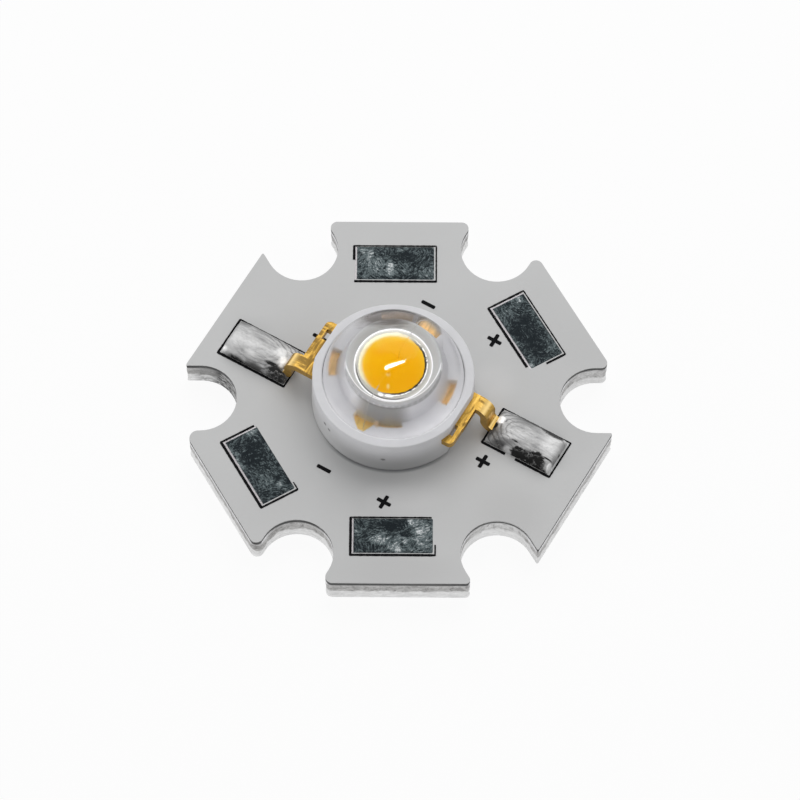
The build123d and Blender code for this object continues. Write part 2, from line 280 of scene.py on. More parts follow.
class Tree:
    """A node tree under construction."""

    def __init__(self, tree):
        self.tree = tree

    def node(self, kind, inputs=(), output=0, **settings):
        """Adds any node: its settings first, then the values or wires of its sockets."""
        made = self.tree.nodes.new(kind)
        for name, value in settings.items():
            setattr(made, name, value)
        for key, value in inputs.items() if isinstance(inputs, dict) else enumerate(inputs):
            self.feed(made.inputs[key], value)
        return Wire(self, made.outputs[output]) if len(made.outputs) else made

    def feed(self, socket, value):
        """Links a wire to a socket, or sets its value. A lone number is a grey where a colour is due."""
        if isinstance(value, Wire):
            self.tree.links.new(value.socket, socket)
        elif socket.type == "RGBA":
            socket.default_value = (*((value,) * 3 if isinstance(value, float) else value), 1.0)
        else:
            socket.default_value = value

    def mix(self, factor, first, second):
        """Colour between two colours."""
        return self.node("ShaderNodeMix", {0: factor, 6: first, 7: second}, 2, data_type="RGBA")

    def noise(self, place, scale, detail=3.0, roughness=0.55, distortion=0.0, output=0):
        """Cloudy pattern, with scale in grains per millimetre. Its output 1 gives a colour or vector."""
        inputs = {
            "Vector": place, "Scale": scale, "Detail": detail, "Roughness": roughness, "Distortion": distortion}
        return self.node("ShaderNodeTexNoise", inputs, output)

    def cells(self, place, scale):
        """A random colour for each cell, with scale in cells per millimetre."""
        return self.node("ShaderNodeTexVoronoi", {"Vector": place, "Scale": scale}, "Color", feature="F1")

    def joined(self, x, y, z):
        """Vector from three values."""
        return self.node("ShaderNodeCombineXYZ", (x, y, z))

    def ray(self, kind):
        """One for rays of a kind, and nothing for others."""
        return self.node("ShaderNodeLightPath", (), f"Is {kind} Ray")

    def seen_ray(self):
        """One for rays from the camera, or on through glass or off a glossy surface."""
        return self.ray("Camera").most(self.ray("Glossy")).most(self.ray("Transmission"))


class Finish(Tree):
    """A surface material with one Principled shader, whose tone is laid on in coats."""

    def __init__(self, name):
        self.material = bpy.data.materials.new(name)
        self.material.use_nodes = True
        super().__init__(self.material.node_tree)
        self.shader = self.tree.nodes["Principled BSDF"]
        self.output = self.tree.nodes["Material Output"]
        self.place = self.node("ShaderNodeTexCoord", (), "Object").vector("SCALE", Scale=1 / MM)
        self.tone = None

    # Places, in millimetres

    def axis(self, index):
        """X, Y or Z of the place."""
        return self.place.part(index)

    def reach(self, x, y, middle=AXIS):
        """How far the place lies from a middle along a direction of the board's plane."""
        return self.place.vector("SUBTRACT", (*middle, 0.0)).along((x, y, 0.0))

    def radius(self, middle=AXIS):
        """Distance of the place from an upright line, which is the package's axis unless another is given."""
        return self.place.vector("MULTIPLY", (1.0, 1.0, 0.0)).far_from((*middle, 0.0))

    def stretched(self, x, y, z):
        """The place, scaled by a factor for each axis."""
        return self.node("ShaderNodeMapping", {"Vector": self.place, "Scale": (x, y, z)})

    def turned(self, angle, x, y, z):
        """The place turned about Z by an angle in degrees, then scaled along the turned axes."""
        along = self.place.along((*direction(angle), 0.0))
        across = self.place.along((*direction(angle + 90), 0.0))
        return self.joined(along * x, across * y, self.axis(2) * z)

    # Masks

    def cloud(self, *values, **named):
        """Cloudy pattern at the place."""
        return self.noise(self.place, *values, **named)

    def facing(self, way):
        """How far a face looks one way."""
        return self.node("ShaderNodeNewGeometry", (), "Normal").along(way)

    def upright(self, low, high):
        """One on walls, nothing on level faces, and a change between two tilts."""
        return abs(self.facing((0, 0, 1))).fade(low, high)

    def patch(self, middle, angle, spot, reach, ragged, warp=0.3, soft=0.6):
        """One inside an oval given along and across an angle from a middle, fading out at a ragged edge."""
        centre = beside(middle, angle, *spot)
        u = self.reach(*direction(angle), centre) / reach[0]
        v = self.reach(*direction(angle + 90), centre) / reach[1]
        out = (u * u + v * v) ** 0.5 + (ragged - 0.5) * warp
        return out.fade(1 - soft, 1.0)

    # Tone and shader

    def base(self, factor, first, second):
        """Starts the tone as a mix of two colours."""
        self.tone = self.mix(factor, first, second)

    def over(self, factor, colour):
        """Lays a colour over the tone so far."""
        self.tone = self.mix(factor, self.tone, colour)

    def bump(self, height, millimetres):
        """Normal of a relief whose full height is given in millimetres."""
        return self.node("ShaderNodeBump", {"Height": height, "Distance": millimetres * MM})

    def set(self, **values):
        """Feeds the shader's sockets, named with underlines for spaces, and gives the material."""
        for name, value in values.items():
            self.feed(self.shader.inputs[name.replace("_", " ")], value)
        return self.material

    def finished(self, roughness, relief, millimetres, **values):
        """Feeds the tone, the roughness, a relief of some height and other values, and gives the material."""
        return self.set(Base_Color=self.tone, Roughness=roughness, Normal=self.bump(relief, millimetres), **values)

    def blended(self, factor, other):
        """Mixes another shader over this one, and gives the material."""
        mixed = self.node("ShaderNodeMixShader", {0: factor, 1: Wire(self, self.shader.outputs[0]), 2: other})
        self.feed(self.output.inputs["Surface"], mixed)
        return self.material


# Places and meshes


def direction(angle):
    """Unit vector in the board's plane at an angle in degrees."""
    return np.array((math.cos(math.radians(angle)), math.sin(math.radians(angle))))


def beside(middle, angle, along, across):
    """Point at distances along and across an angle from a middle in the board's plane."""
    return middle + along * direction(angle) + across * direction(angle + 90)


def merged(node):
    """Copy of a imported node's mesh with its doubled points merged and its flat faces whole."""
    bm = bmesh.new()
    bm.from_mesh(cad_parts[node].data)
    bmesh.ops.remove_doubles(bm, verts=bm.verts, dist=1e-7)
    bmesh.ops.dissolve_limit(bm, angle_limit=math.radians(0.5), verts=bm.verts, edges=bm.edges)
    return bm


def link(name, data):
    """Object for a mesh, lamp or camera, at the origin."""
    piece = bpy.data.objects.new(name, data)
    bpy.context.scene.collection.objects.link(piece)
    return piece


def smooth(mesh, angle=32.0):
    """Smooth shading with sharp edges above an angle in degrees."""
    mesh.shade_smooth()
    mesh.set_sharp_from_angle(angle=math.radians(angle))


def mesh_of(name, points, faces, angle=32.0):
    """Mesh from points in millimetres."""
    mesh = bpy.data.meshes.new(name)
    mesh.from_pydata([tuple(np.asarray(point) * MM) for point in points], [], faces)
    mesh.validate()
    bm = bmesh.new()
    bm.from_mesh(mesh)
    bmesh.ops.recalc_face_normals(bm, faces=bm.faces)
    bm.to_mesh(mesh)
    bm.free()
    smooth(mesh, angle)
    return mesh


def skin(rows):
    """Points and faces of a closed skin through rings of points; a ring of one point is a pole."""
    points, starts = [], []
    for row in rows:
        starts.append(len(points))
        points.extend(row)
    faces = []
    for index in range(len(rows) - 1):
        first, second = rows[index], rows[index + 1]
        a, b = starts[index], starts[index + 1]
        count = max(len(first), len(second))
        for step in range(count):
            after = (step + 1) % count
            if len(first) == 1:
                faces.append((a, b + after, b + step))
            elif len(second) == 1:
                faces.append((a + step, a + after, b))
            else:
                faces.append((a + step, a + after, b + after, b + step))
    for index in (0, -1):
        if len(rows[index]) > 1:
            faces.append(tuple(range(starts[index], starts[index] + len(rows[index]))))
    return points, faces


def lathe(profile, segments):
    """Rings about the package's axis for a profile of radii and heights."""
    turns = np.linspace(0, 2 * math.pi, segments, endpoint=False)
    rows = []
    for radius, height in profile:
        if radius < 1e-6:
            rows.append([(*AXIS, height)])
            continue
        rows.append([
            (AXIS[0] + radius * math.cos(turn), AXIS[1] + radius * math.sin(turn), height) for turn in turns])
    return rows


def height_field(name, middle, half, angle, steps, lift, base, corner):
    """Closed pad whose top follows a height function, with slightly rounded corners in plan."""
    points = []
    for s in np.linspace(-1, 1, steps[0] + 1):
        for t in np.linspace(-1, 1, steps[1] + 1):
            near_ends = (max(0.0, 1 - (1 - abs(part)) * size / (2 * corner)) for part, size in zip((s, t), half))
            drawn_in = half - corner / 2 * math.prod(near_ends)
            points.append((*beside(middle, angle, *(drawn_in * (s, t))), lift(s, t, *(half * (s, t)))))
    grid = np.arange(len(points)).reshape(steps[0] + 1, steps[1] + 1)
    faces = np.stack((grid[:-1, :-1], grid[1:, :-1], grid[1:, 1:], grid[:-1, 1:]), -1).reshape(-1, 4).tolist()
    border = [*grid[0], *grid[1:, -1], *grid[-1, -2::-1], *grid[-2:0:-1, 0]]
    start, count = len(points), len(border)
    points += [(*points[index][:2], base) for index in border]
    for step in range(count):
        after = (step + 1) % count
        faces.append((border[step], border[after], start + after, start + step))
    faces.append(range(start, start + count))
    return link(name, mesh_of(name, points, faces, 50.0))


def outline(node, height, step):
    """Outer border of a node's flat face at a height, in order and evenly spaced, in millimetres."""
    bm = merged(node)
    ahead = {}
    for edge in bm.edges:
        flat = [face for face in edge.link_faces if abs(face.normal.z) > 0.9]
        level = all(abs(vert.co.z / MM - height) < 1e-3 for vert in edge.verts)
        if level and len(flat) == 1 and len(edge.link_faces) == 2:
            loop = next(loop for loop in flat[0].loops if loop.edge == edge)
            ahead[loop.vert.index] = loop.link_loop_next.vert.index
    bm.verts.ensure_lookup_table()
    loops = []
    while ahead:
        start = next(iter(ahead))
        loop = []
        while start in ahead:
            loop.append(np.array(bm.verts[start].co)[:2] / MM)
            start = ahead.pop(start)
        loops.append(np.array(loop))
    bm.free()
    border = max(loops, key=lambda loop: np.ptp(loop[:, 0]))
    closed = np.vstack((border, border[:1]))
    reach = np.concatenate(([0], np.cumsum(np.linalg.norm(np.diff(closed, axis=0), axis=1))))
    stations = np.linspace(0, reach[-1], int(reach[-1] / step), endpoint=False)
    return np.column_stack([np.interp(stations, reach, closed[:, axis]) for axis in (0, 1)])


def outward(loop):
    """Outward unit normals of a closed loop of points."""
    ahead = np.roll(loop, -1, axis=0) - np.roll(loop, 1, axis=0)
    normals = np.column_stack((ahead[:, 1], -ahead[:, 0]))
    normals /= np.linalg.norm(normals, axis=1)[:, None]
    x, y = loop[:, 0], loop[:, 1]
    area = np.sum(x * np.roll(y, -1) - np.roll(x, -1) * y)
    return normals if area > 0 else -normals


def rough(x, y, z, scale, octaves=4):
    """Repeatable cloudy value about nothing at a place in millimetres."""
    return noise.fractal(Vector((x, y, z)) * scale, 0.9, 2.1, octaves)


def clamped(value, low=0.0, high=1.0):
    """The value, held between two others."""
    return max(low, min(high, value))


def oriented(node, angle):
    """Middle and half sizes of a node in the board's plane, along and across an angle."""
    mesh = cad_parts[node].data
    flat = np.array([vert.co[:2] for vert in mesh.vertices]) / MM
    axes = np.column_stack((direction(angle), direction(angle + 90)))
    local = flat @ axes
    low, high = local.min(0), local.max(0)
    return axes @ ((low + high) / 2), (high - low) / 2


def pad_angle(node):
    """Direction of an open pad from the package's axis, in degrees."""
    low, high = span(node)
    x, y = (low + high)[:2] / 2 - AXIS
    return round(math.degrees(math.atan2(y, x)))


def place(piece, material, slot, *nodes):
    """Gives a piece its material and its body, and hides the nodes it stands for. The slot is not used."""
    piece.data.materials.clear()
    piece.data.materials.append(material)
    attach(piece, "root")
    if nodes:
        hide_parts(*nodes)
    return piece


def dressed(node, name, material, slot, edge=0.0, angle=32.0):
    """Smooth copy of a node, with its sharp edges rounded, that stands for it."""
    bm = merged(node)
    mesh = bpy.data.meshes.new(name)
    bm.to_mesh(mesh)
    bm.free()
    smooth(mesh, angle)
    piece = link(name, mesh)
    if edge:
        bevel = piece.modifiers.new("Edges", "BEVEL")
        bevel.width = edge * MM
        bevel.segments = 2
        bevel.limit_method = "ANGLE"
        bevel.angle_limit = math.radians(angle)
        bevel.use_clamp_overlap = True
        bevel.harden_normals = True
        bake_modifiers(piece)
    return place(piece, material, slot, node)


def bake_modifiers(piece):
    """Turns a piece with modifiers into a plain mesh."""
    graph = bpy.context.evaluated_depsgraph_get()
    mesh = bpy.data.meshes.new_from_object(piece.evaluated_get(graph))
    piece.modifiers.clear()
    piece.data = mesh
    return piece


def paint(nodes, material):
    """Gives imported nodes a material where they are."""
    for node in nodes:
        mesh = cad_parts[node].data
        mesh.materials.clear()
        mesh.materials.append(material)


# Materials


def shaded(colour, share):
    """A colour darkened evenly."""
    return tuple(share * part for part in colour)


COAT_LIGHT_AND_SHADE = (
    # Painted light and shade: ovals on the board that lighten the shade in front of and beside the body, deepen the
    # shadow under the right lead and darken the board towards its lower edge; place, reach each way, tone and
    # strength
    (0.3, -5.4, 2.6, 1.2, 0.66, 0.8), (4.6, 1.0, 1.6, 1.6, 0.65, 0.6), (4.30, -2.05, 0.42, 0.50, 0.30, 0.7),
    (5.5, -6.3, 2.4, 2.4, 0.53, 0.8), (0.0, -9.4, 4.0, 1.6, 0.53, 0.8), (-6.0, -5.2, 2.0, 2.6, 0.55, 0.6),
)


def coat_finish(board):
    """White solder mask: satin, faintly uneven, with dark resin showing low on its punched edge, painted light and
    shade in ovals, and a painted shade round the package's foot at the front.
    """
    finish = Finish("White mask")
    cloud = finish.cloud(0.22, 2.0)
    grain = finish.cloud(9.0, 4.0, 0.6)
    finish.base(cloud.ease(0.3, 0.7), shaded(board.coat, 0.97), board.coat)
    finish.over(grain.ease(0.62, 0.80) * 0.12, 0.40)
    below = finish.axis(2).fade(BOARD_TOP - 0.050, BOARD_TOP - 0.028)
    finish.over(finish.upright(0.3, 0.7) * below * finish.cloud(2.6, 3.0).ease(0.30, 0.42), board.resin)
    # Painted light and shade, oval by oval
    for x, y, reach_x, reach_y, grey, strength in COAT_LIGHT_AND_SHADE:
        finish.over(finish.patch(BOARD_MIDDLE, 0.0, (x, y), (reach_x, reach_y), cloud, 0.0, 0.8) * strength, grey)
    # Painted shade: a dark band round the package's foot, strongest at the front
    ahead = finish.place.along((-0.1, -1.0, 0.0)).ease(2.2, 3.8)
    finish.over(finish.radius().fade(4.04, 4.22) * ahead * 0.75, (0.16, 0.165, 0.175))
    relief = finish.cloud(2.2, 2.0) * 0.7 + finish.cloud(14.0, 2.0) * 0.3
    return finish.finished(0.42 + grain * 0.14, relief, 0.006, Specular_IOR_Level=0.35)


def resin_finish(board):
    """Insulating layer, dark and dull at the punched edge."""
    finish = Finish("Resin")
    fibres = finish.noise(finish.stretched(1, 1, 8), 5.0, 3.0)
    finish.base(fibres.ease(0.4, 0.75), board.resin, (0.10, 0.10, 0.095))
    return finish.finished(0.75, fibres, 0.01)


EDGE_LOOKS = (
    # Places on the punched edge: X, Y, reach, tone and strength
    (-8.15, 1.40, 1.40, 0.055, 1.0), (-9.4, 2.2, 0.9, 0.20, 0.7), (9.30, 2.00, 1.2, 0.66, 0.62),
    (4.9, -6.9, 1.6, 0.80, 0.6),
)


def core_finish(board):
    """Aluminium: rolled faces, and a punched edge with a bright strip, a mottled torn band and a pale fringe. The
    strip is partly a painted highlight that fades on walls facing the front, and those walls get a line of painted
    shade in the resin's colour along the top.
    """
    finish = Finish("Aluminium core")
    height = finish.axis(2)
    top = CORE_HIGH[2]
    wall = finish.upright(0.45, 0.8)
    # How far a wall faces the front, where the painted highlight of the strip fades and a line of painted shade is
    # laid
    facing = finish.facing((0, -1, 0)).ease(0.50, 0.90)
    edge = finish.cloud(1.1, 3.0) - 0.5
    streaks = finish.noise(finish.stretched(6, 6, 0.5), 1.6, 4.0, 0.6)
    blotches = finish.cloud(2.6, 6.0, 0.68, 1.4)
    scores = finish.noise(finish.stretched(1, 1, 3.2), 1.8, 5.0, 0.65, 0.8)
    rolled = finish.noise(finish.stretched(0.35, 7, 1), 2.5, 3.0)
    strip = (height + edge * 0.2).ease(top - 0.30, top - 0.22) * (1 - facing * 0.85)
    fringe = (height + edge * 0.75).fade(0.50, 0.74)
    finish.base((blotches * 0.6 + scores * 0.4).ease(0.38, 0.60), (0.17, 0.165, 0.16), board.torn)
    finish.over((1 - scores).ease(0.50, 0.66) * 0.6, 0.74)
    finish.over(strip, finish.mix(streaks.ease(0.35, 0.75), (0.55, 0.55, 0.56), (0.86, 0.86, 0.87)))
    finish.over(fringe * 0.92, finish.mix(scores.ease(0.42, 0.62) * 0.5, 0.83, 0.55))
    # Painted shade along the top of walls facing the front
    rim = (height + (blotches - 0.5) * 0.10).ease(top - 0.12, top - 0.05)
    finish.over(rim * facing * 0.85, board.resin)
    broken = (scores * 0.5 + blotches * 0.5).ease(0.40, 0.56) * 0.75 + 0.25
    for x, y, reach, grey, strength in EDGE_LOOKS:
        inside = finish.patch(BOARD_MIDDLE, 0.0, (x, y), (reach, reach), blotches, 0.5, 0.5)
        finish.over(inside * broken * strength, grey)
    finish.over(1 - wall, finish.mix(rolled.ease(0.45, 0.8) * 0.35, board.metal, (0.45, 0.45, 0.46)))
    relief = rolled * (1 - wall) * 0.3 + (streaks * strip * 0.5 + (blotches + scores) * (1 - strip) * 0.7) * wall
    return finish.finished(0.36 + wall * 0.14, relief, 0.02, Metallic=1.0 - wall * 0.12)


def ink_finish(board):
    """Screen-printed ink, matt, with pinholes."""
    finish = Finish("Black print")
    grain = finish.cloud(16.0, 3.0)
    finish.base(grain.ease(0.68, 0.80) * 0.4, board.ink, 0.10)
    return finish.finished(0.7 + grain * 0.2, grain, 0.006, Specular_IOR_Level=0.06)


TIN_PAINTED_REFLECTIONS = {
    # Pad: painted reflections, as ovals by place along and across the pad and reach each way, and how much brighter
    # the tin is there
    "tin_pad_top": (
        (-1.25, 0.05, 1.0, 1.0, 0.03), (0.45, 0.35, 0.85, 0.40, -0.08), (-0.22, -0.25, 0.26, 0.62, 0.10),
        (1.25, -0.1, 0.8, 0.8, -0.02), (0.2, -0.8, 2.2, 0.16, -0.06)),
    "tin_pad_upper_right": (
        (0.2, 0.0, 1.9, 0.9, -0.07), (-1.75, 0.62, 0.34, 0.34, 0.08), (1.85, -0.8, 0.30, 0.26, 0.13),
        (-1.0, -0.2, 0.8, 0.7, 0.02), (0.0, 0.0, 4.0, 4.0, -0.035)),
    "tin_pad_bottom": (
        (0.30, -0.55, 1.5, 0.42, -0.07), (-0.65, -0.12, 0.36, 0.36, -0.07), (-1.50, 0.10, 0.75, 1.1, 0.05),
        (-1.00, -0.68, 0.40, 0.30, 0.10), (-1.25, -0.24, 0.34, 0.30, 0.09), (0.55, 0.20, 0.85, 0.34, 0.10),
        (-0.45, 0.24, 0.55, 0.34, 0.10), (-0.12, 0.60, 0.45, 0.45, 0.09), (1.20, 0.65, 0.70, 0.30, -0.03),
        (0.05, 0.88, 0.30, 0.14, -0.09), (-0.6, 0.75, 0.5, 0.25, 0.04)),
    "tin_pad_lower_left": (
        (0.6, -0.1, 1.4, 0.9, -0.05), (-0.9, 0.15, 0.7, 0.55, 0.04), (1.75, -0.55, 0.34, 0.40, 0.10),
        (0.0, 0.0, 4.0, 4.0, -0.035), (0.9, 0.8, 1.2, 0.22, 0.06), (-1.4, -0.35, 0.26, 0.26, 0.12),
        (-1.1, -0.8, 1.2, 0.25, -0.04)),
}


def tin_finish(metal, node):
    """Dull tin that froze in crystals, each with its own run of fine feathers: its dark tones are a painted dark
    reflection on pale tin, its bright streaks are painted highlights, and its dark and bright patches are painted
    reflections.
    """
    finish = Finish("Tin " + node.removeprefix("tin_pad_").replace("_", " "))
    angle = pad_angle(node)
    middle, half = oriented(node, angle)
    warped = finish.place.vector("ADD", finish.cloud(2.2, 3.0, output=1).vector("SCALE", Scale=0.5))
    crystals = finish.cells(warped, 1.5)
    lean = crystals.part(0) * math.pi
    cosine, sine = lean.maths("COSINE"), lean.maths("SINE")
    x, y = finish.axis(0), finish.axis(1)
    feathered = finish.joined((x * cosine + y * sine) * 1.1, (y * cosine - x * sine) * 4.2, lean * 7.0)
    feathers = finish.noise(feathered, 3.0, 5.0, 0.66, 0.7)
    ragged = finish.cloud(2.6, 4.0, 0.6, 0.6)
    level = feathers * 0.58 + finish.cloud(7.5, 6.0, 0.72, 1.2) * 0.42 + (crystals.part(1) - 0.5) * 0.07
    for s, t, reach_s, reach_t, gain in TIN_PAINTED_REFLECTIONS[node]:
        level = level + finish.patch(middle, angle - 90, (s, t), (reach_s, reach_t), ragged, 0.9, 0.75) * gain
    # Painted highlights: the bright streaks
    highlight_veins = level.ease(0.56, 0.70)
    finish.base(level.ease(0.43, 0.57), metal.tin_dark, metal.tin_pale)
    finish.over(highlight_veins, metal.tin_bright)
    for turn, reach in ((angle, half[0]), (angle + 180, half[0]), (angle + 90, half[1]), (angle - 90, half[1])):
        if direction(turn)[0] < -0.4:
            inward = reach + 0.01 - finish.reach(*direction(turn), middle)
            finish.over((inward + (ragged - 0.5) * 0.04).fade(0.04, 0.10) * 0.9, (0.42, 0.40, 0.41))
    return finish.finished(0.48 - highlight_veins * 0.12, level, 0.03, Metallic=0.9)


SOLDER_FLUX_AND_PAINTED_LIGHT = {
    # Joint: ovals by place along and across the pad, reach each way, tone, strength, raggedness and softness; pale
    # ovals are painted highlights, dark ones are burnt flux with painted dark reflection
    "solder_joint_anode": (
        (1.35, 0.25, 0.90, 0.75, 0.66, 0.8, 0.5, 0.9),
        (-0.40, 0.68, 1.3, 0.36, 0.20, 0.7, 0.6, 0.9),
        (-1.62, -0.50, 0.20, 0.50, 0.03, 0.85, 0.5, 0.7),
        (-1.00, -0.88, 0.55, 0.16, 0.03, 0.85, 0.6, 0.7),
        (-1.82, -0.90, 0.20, 0.20, 0.60, 0.9, 0.4, 0.6),
        (-1.30, -0.45, 0.40, 0.60, 0.14, 0.7, 0.6, 0.8),
        (-0.70, -0.70, 0.70, 0.22, 0.15, 0.7, 0.7, 0.7),
        (-0.10, 0.88, 1.30, 0.16, 0.06, 0.8, 0.9, 0.6),
        (1.10, 0.84, 0.85, 0.22, 0.03, 0.95, 0.8, 0.5),
        (-1.58, 0.22, 0.34, 0.26, 1.00, 1.0, 0.9, 0.4),
        (-1.66, -0.16, 0.20, 0.20, 0.01, 1.0, 0.4, 0.4),
        (-0.52, -0.98, 0.28, 0.16, 0.62, 0.9, 0.6, 0.6),
        (-0.35, -0.50, 0.24, 0.06, 0.02, 1.0, 0.3, 0.5),
        (0.10, -0.92, 0.44, 0.28, 0.010, 1.0, 1.5, 0.30),
        (0.50, -0.98, 0.85, 0.42, 0.010, 1.0, 0.6, 0.30),
        (1.00, -0.92, 0.66, 0.50, 0.008, 1.0, 1.3, 0.25),
        (1.50, -0.52, 0.30, 0.05, 0.01, 1.0, 0.2, 0.4),
        (1.78, -0.80, 0.18, 0.28, 0.85, 1.0, 0.3, 0.4),
        (1.84, 0.10, 0.08, 0.18, 0.02, 1.0, 0.4, 0.6),
        (1.74, 0.84, 0.16, 0.16, 0.90, 0.9, 0.5, 0.8)),
    "solder_joint_cathode": (
        (1.50, -0.85, 0.55, 0.36, 0.15, 0.8, 0.5, 0.9),
        (1.45, 0.45, 0.70, 0.80, 0.60, 0.7, 0.5, 0.9),
        (1.72, 0.88, 0.34, 0.22, 0.98, 1.0, 0.5, 0.9),
        (0.35, 0.56, 0.50, 0.30, 0.66, 0.7, 0.7, 0.9),
        (0.55, -0.40, 0.70, 0.30, 0.24, 0.5, 0.9, 0.9),
        (0.60, 0.05, 1.2, 0.50, 0.66, 0.6, 0.9, 0.9),
        (-1.00, -0.25, 0.50, 0.40, 0.72, 0.8, 0.7, 0.9),
        (-1.28, 0.12, 0.30, 0.36, 0.95, 0.95, 0.7, 0.7),
        (0.85, 1.06, 0.95, 0.17, 0.012, 1.0, 0.6, 0.5),
        (-0.15, 1.02, 0.75, 0.24, 0.06, 0.9, 0.8, 0.6),
        (-1.30, 0.84, 0.75, 0.36, 0.018, 1.0, 0.9, 0.5),
        (-0.85, 0.55, 0.42, 0.14, 0.01, 1.0, 1.1, 0.4)),
}
BURNT_FLUX_AND_REFLECTION = 0.05  # tones under this one are burnt flux with painted dark reflection


def solder_finish(metal, node, angle):
    """Flowed solder: smooth and grey, with painted dark reflection bands in rings towards its inner end, painted
    highlights, and dark places of burnt flux with painted dark reflection.
    """
    finish = Finish("Solder " + node.removeprefix("solder_joint_"))
    middle, half = oriented(node, angle)
    flow = finish.noise(finish.turned(angle, 0.45, 1.6, 1.0), 1.4, 4.0, 0.55, 0.9)
    brushed = finish.noise(finish.turned(angle, 0.8, 5.5, 1.0), 1.6, 5.0, 0.65, 0.6)
    ragged = finish.cloud(2.6, 4.0, 0.6, 0.4)
    fine = finish.cloud(9.0, 4.0, 0.6)
    u = finish.reach(*direction(angle), middle) / half[0]
    v = finish.reach(*direction(angle + 90), middle) / half[1]
    out = ((u - 0.1) * (u - 0.1) + v * v) ** 0.5
    rings = ((out * 40.0 + ragged * 10.0).maths("SINE") * 0.5 + 0.5).ease(0.45, 1.0) * out.ease(0.30, 0.95)
    finish.base(flow.ease(0.34, 0.66), shaded(metal.solder, 0.78), metal.solder)
    # Painted dark reflection bands in rings, strongest at the inner end
    finish.over(rings * u.fade(-0.6, 1.0) * 0.7, 0.09)
    finish.over(brushed.ease(0.48, 0.66) * 0.45, (0.15, 0.15, 0.155))
    finish.over((1 - brushed).ease(0.54, 0.70) * 0.35, 0.70)
    finish.over(fine.ease(0.56, 0.74) * 0.35, 0.16)
    dark = None
    # Painted highlights, and burnt flux with painted dark reflection
    for s, t, reach_s, reach_t, grey, strength, warp, soft in SOLDER_FLUX_AND_PAINTED_LIGHT[node]:
        inside = finish.patch(middle, angle, (s, t), (reach_s, reach_t), ragged, warp, soft) * strength
        finish.over(inside, grey)
        if grey < BURNT_FLUX_AND_REFLECTION:
            dark = inside if dark is None else dark.most(inside)
    curls = (ragged * 16.0 + out * 14.0 + fine * 4.0).maths("SINE")
    finish.over(dark * curls.ease(0.3, 1.0) * 0.45, 0.09)
    finish.over(dark * curls.ease(0.86, 1.0) * fine.ease(0.42, 0.60) * 0.7, 0.36)
    relief = flow * 0.6 + fine * 0.10 - rings * 0.15
    return finish.finished(
        0.46 + dark * 0.1, relief, 0.03, Metallic=0.35 - dark * 0.3, Specular_IOR_Level=0.12)


def gold_finish(metal, package, angle, wear):
    """Gilded strip with darker streaks along its run, more of them with wear, and brighter on its upright faces;
    with a painted highlight on the slope of its bend, painted light that makes it paler inside the dome and paler
    still at the front, and painted shade at the upper right and behind the cup.
    """
    finish = Finish(f"Gold {round(angle)}")
    leg = finish.radius().ease(4.25, 4.5)
    inside = finish.radius().fade(3.35, 3.50)
    across, along = (
        finish.noise(finish.turned(angle, *grain, 1.0), 1.7, 5.0, 0.62, 0.5) for grain in ((3.4, 0.6), (0.5, 3.4)))
    streaks = across + (along - across) * leg
    fine = finish.cloud(11.0, 3.0)
    worn = (streaks + wear).ease(0.50, 0.68)
    finish.base(worn * 0.85, metal.gold, metal.gold_worn)
    finish.over((1 - wear - streaks).ease(0.50, 0.64) * 0.6, shaded(metal.gold_bright, 0.8))
    finish.over((1 - worn) * fine.ease(0.5, 0.75) * 0.4, metal.gold_bright)
    # Painted highlight on the slope of the bend
    finish.over(finish.facing((0, 0, 1)).near(0.8, 0.0, 0.22) * leg * 0.95, (1.0, 0.72, 0.28))
    finish.over(finish.upright(0.35, 0.75) * 0.45, metal.gold_bright)
    # Painted light: paler inside the dome
    finish.over(inside * (1 - worn * 0.7) * 0.7, (0.98, 0.60, 0.22))
    # Painted shade at the upper right inside the dome
    painted_shade_upper_right = finish.place.along((*direction(50.0), 0.0)).ease(1.9, 2.2) * inside
    finish.over(painted_shade_upper_right, finish.mix(streaks.ease(0.45, 0.55), (0.14, 0.12, 0.075), 0.11))
    # Painted light: paler still at the front
    front = finish.reach(0.25, 0.97).fade(-2.4, -1.4)
    finish.over(front * inside * (1 - worn * 0.3), (1.0, 0.74, 0.24))
    finish.over(back_painted_shade(finish) * 0.93, package.shade)
    return finish.finished(
        0.32 + worn * 0.16, streaks * 0.7 + fine * 0.3, 0.012, Metallic=0.85 - inside * (1 - front) * 0.45)


def back_painted_shade(finish):
    """Painted brown shade behind the cup, where little light comes in."""
    streaks = finish.noise(finish.stretched(0.8, 3.5, 1.0), 1.6, 4.0, 0.6, 0.6)
    return finish.patch(AXIS, 0.0, (-0.15, 2.16), (1.45, 0.75), streaks, 0.8, 0.6)


def wire_finish():
    """Fine wire, yellow from the phosphor over the cup and grey beyond it."""
    finish = Finish("Bond wire")
    grain = finish.cloud(30.0, 2.0)
    above = finish.radius().fade(1.15, 1.30)
    finish.base(grain.ease(0.4, 0.8), (0.46, 0.45, 0.43), (0.56, 0.54, 0.50))
    finish.over(above, (1.0, 0.56, 0.02))
    return finish.set(
        Base_Color=finish.tone, Metallic=0.2 - above * 0.2, Roughness=0.5 + grain * 0.3, Specular_IOR_Level=0.0)


CUP_HIGHLIGHTS = ((-112.6, 1.30, 0.15, 0.10), (-97.3, 1.27, 0.22, 0.085))  # painted highlights: turn, radius, reach round and across


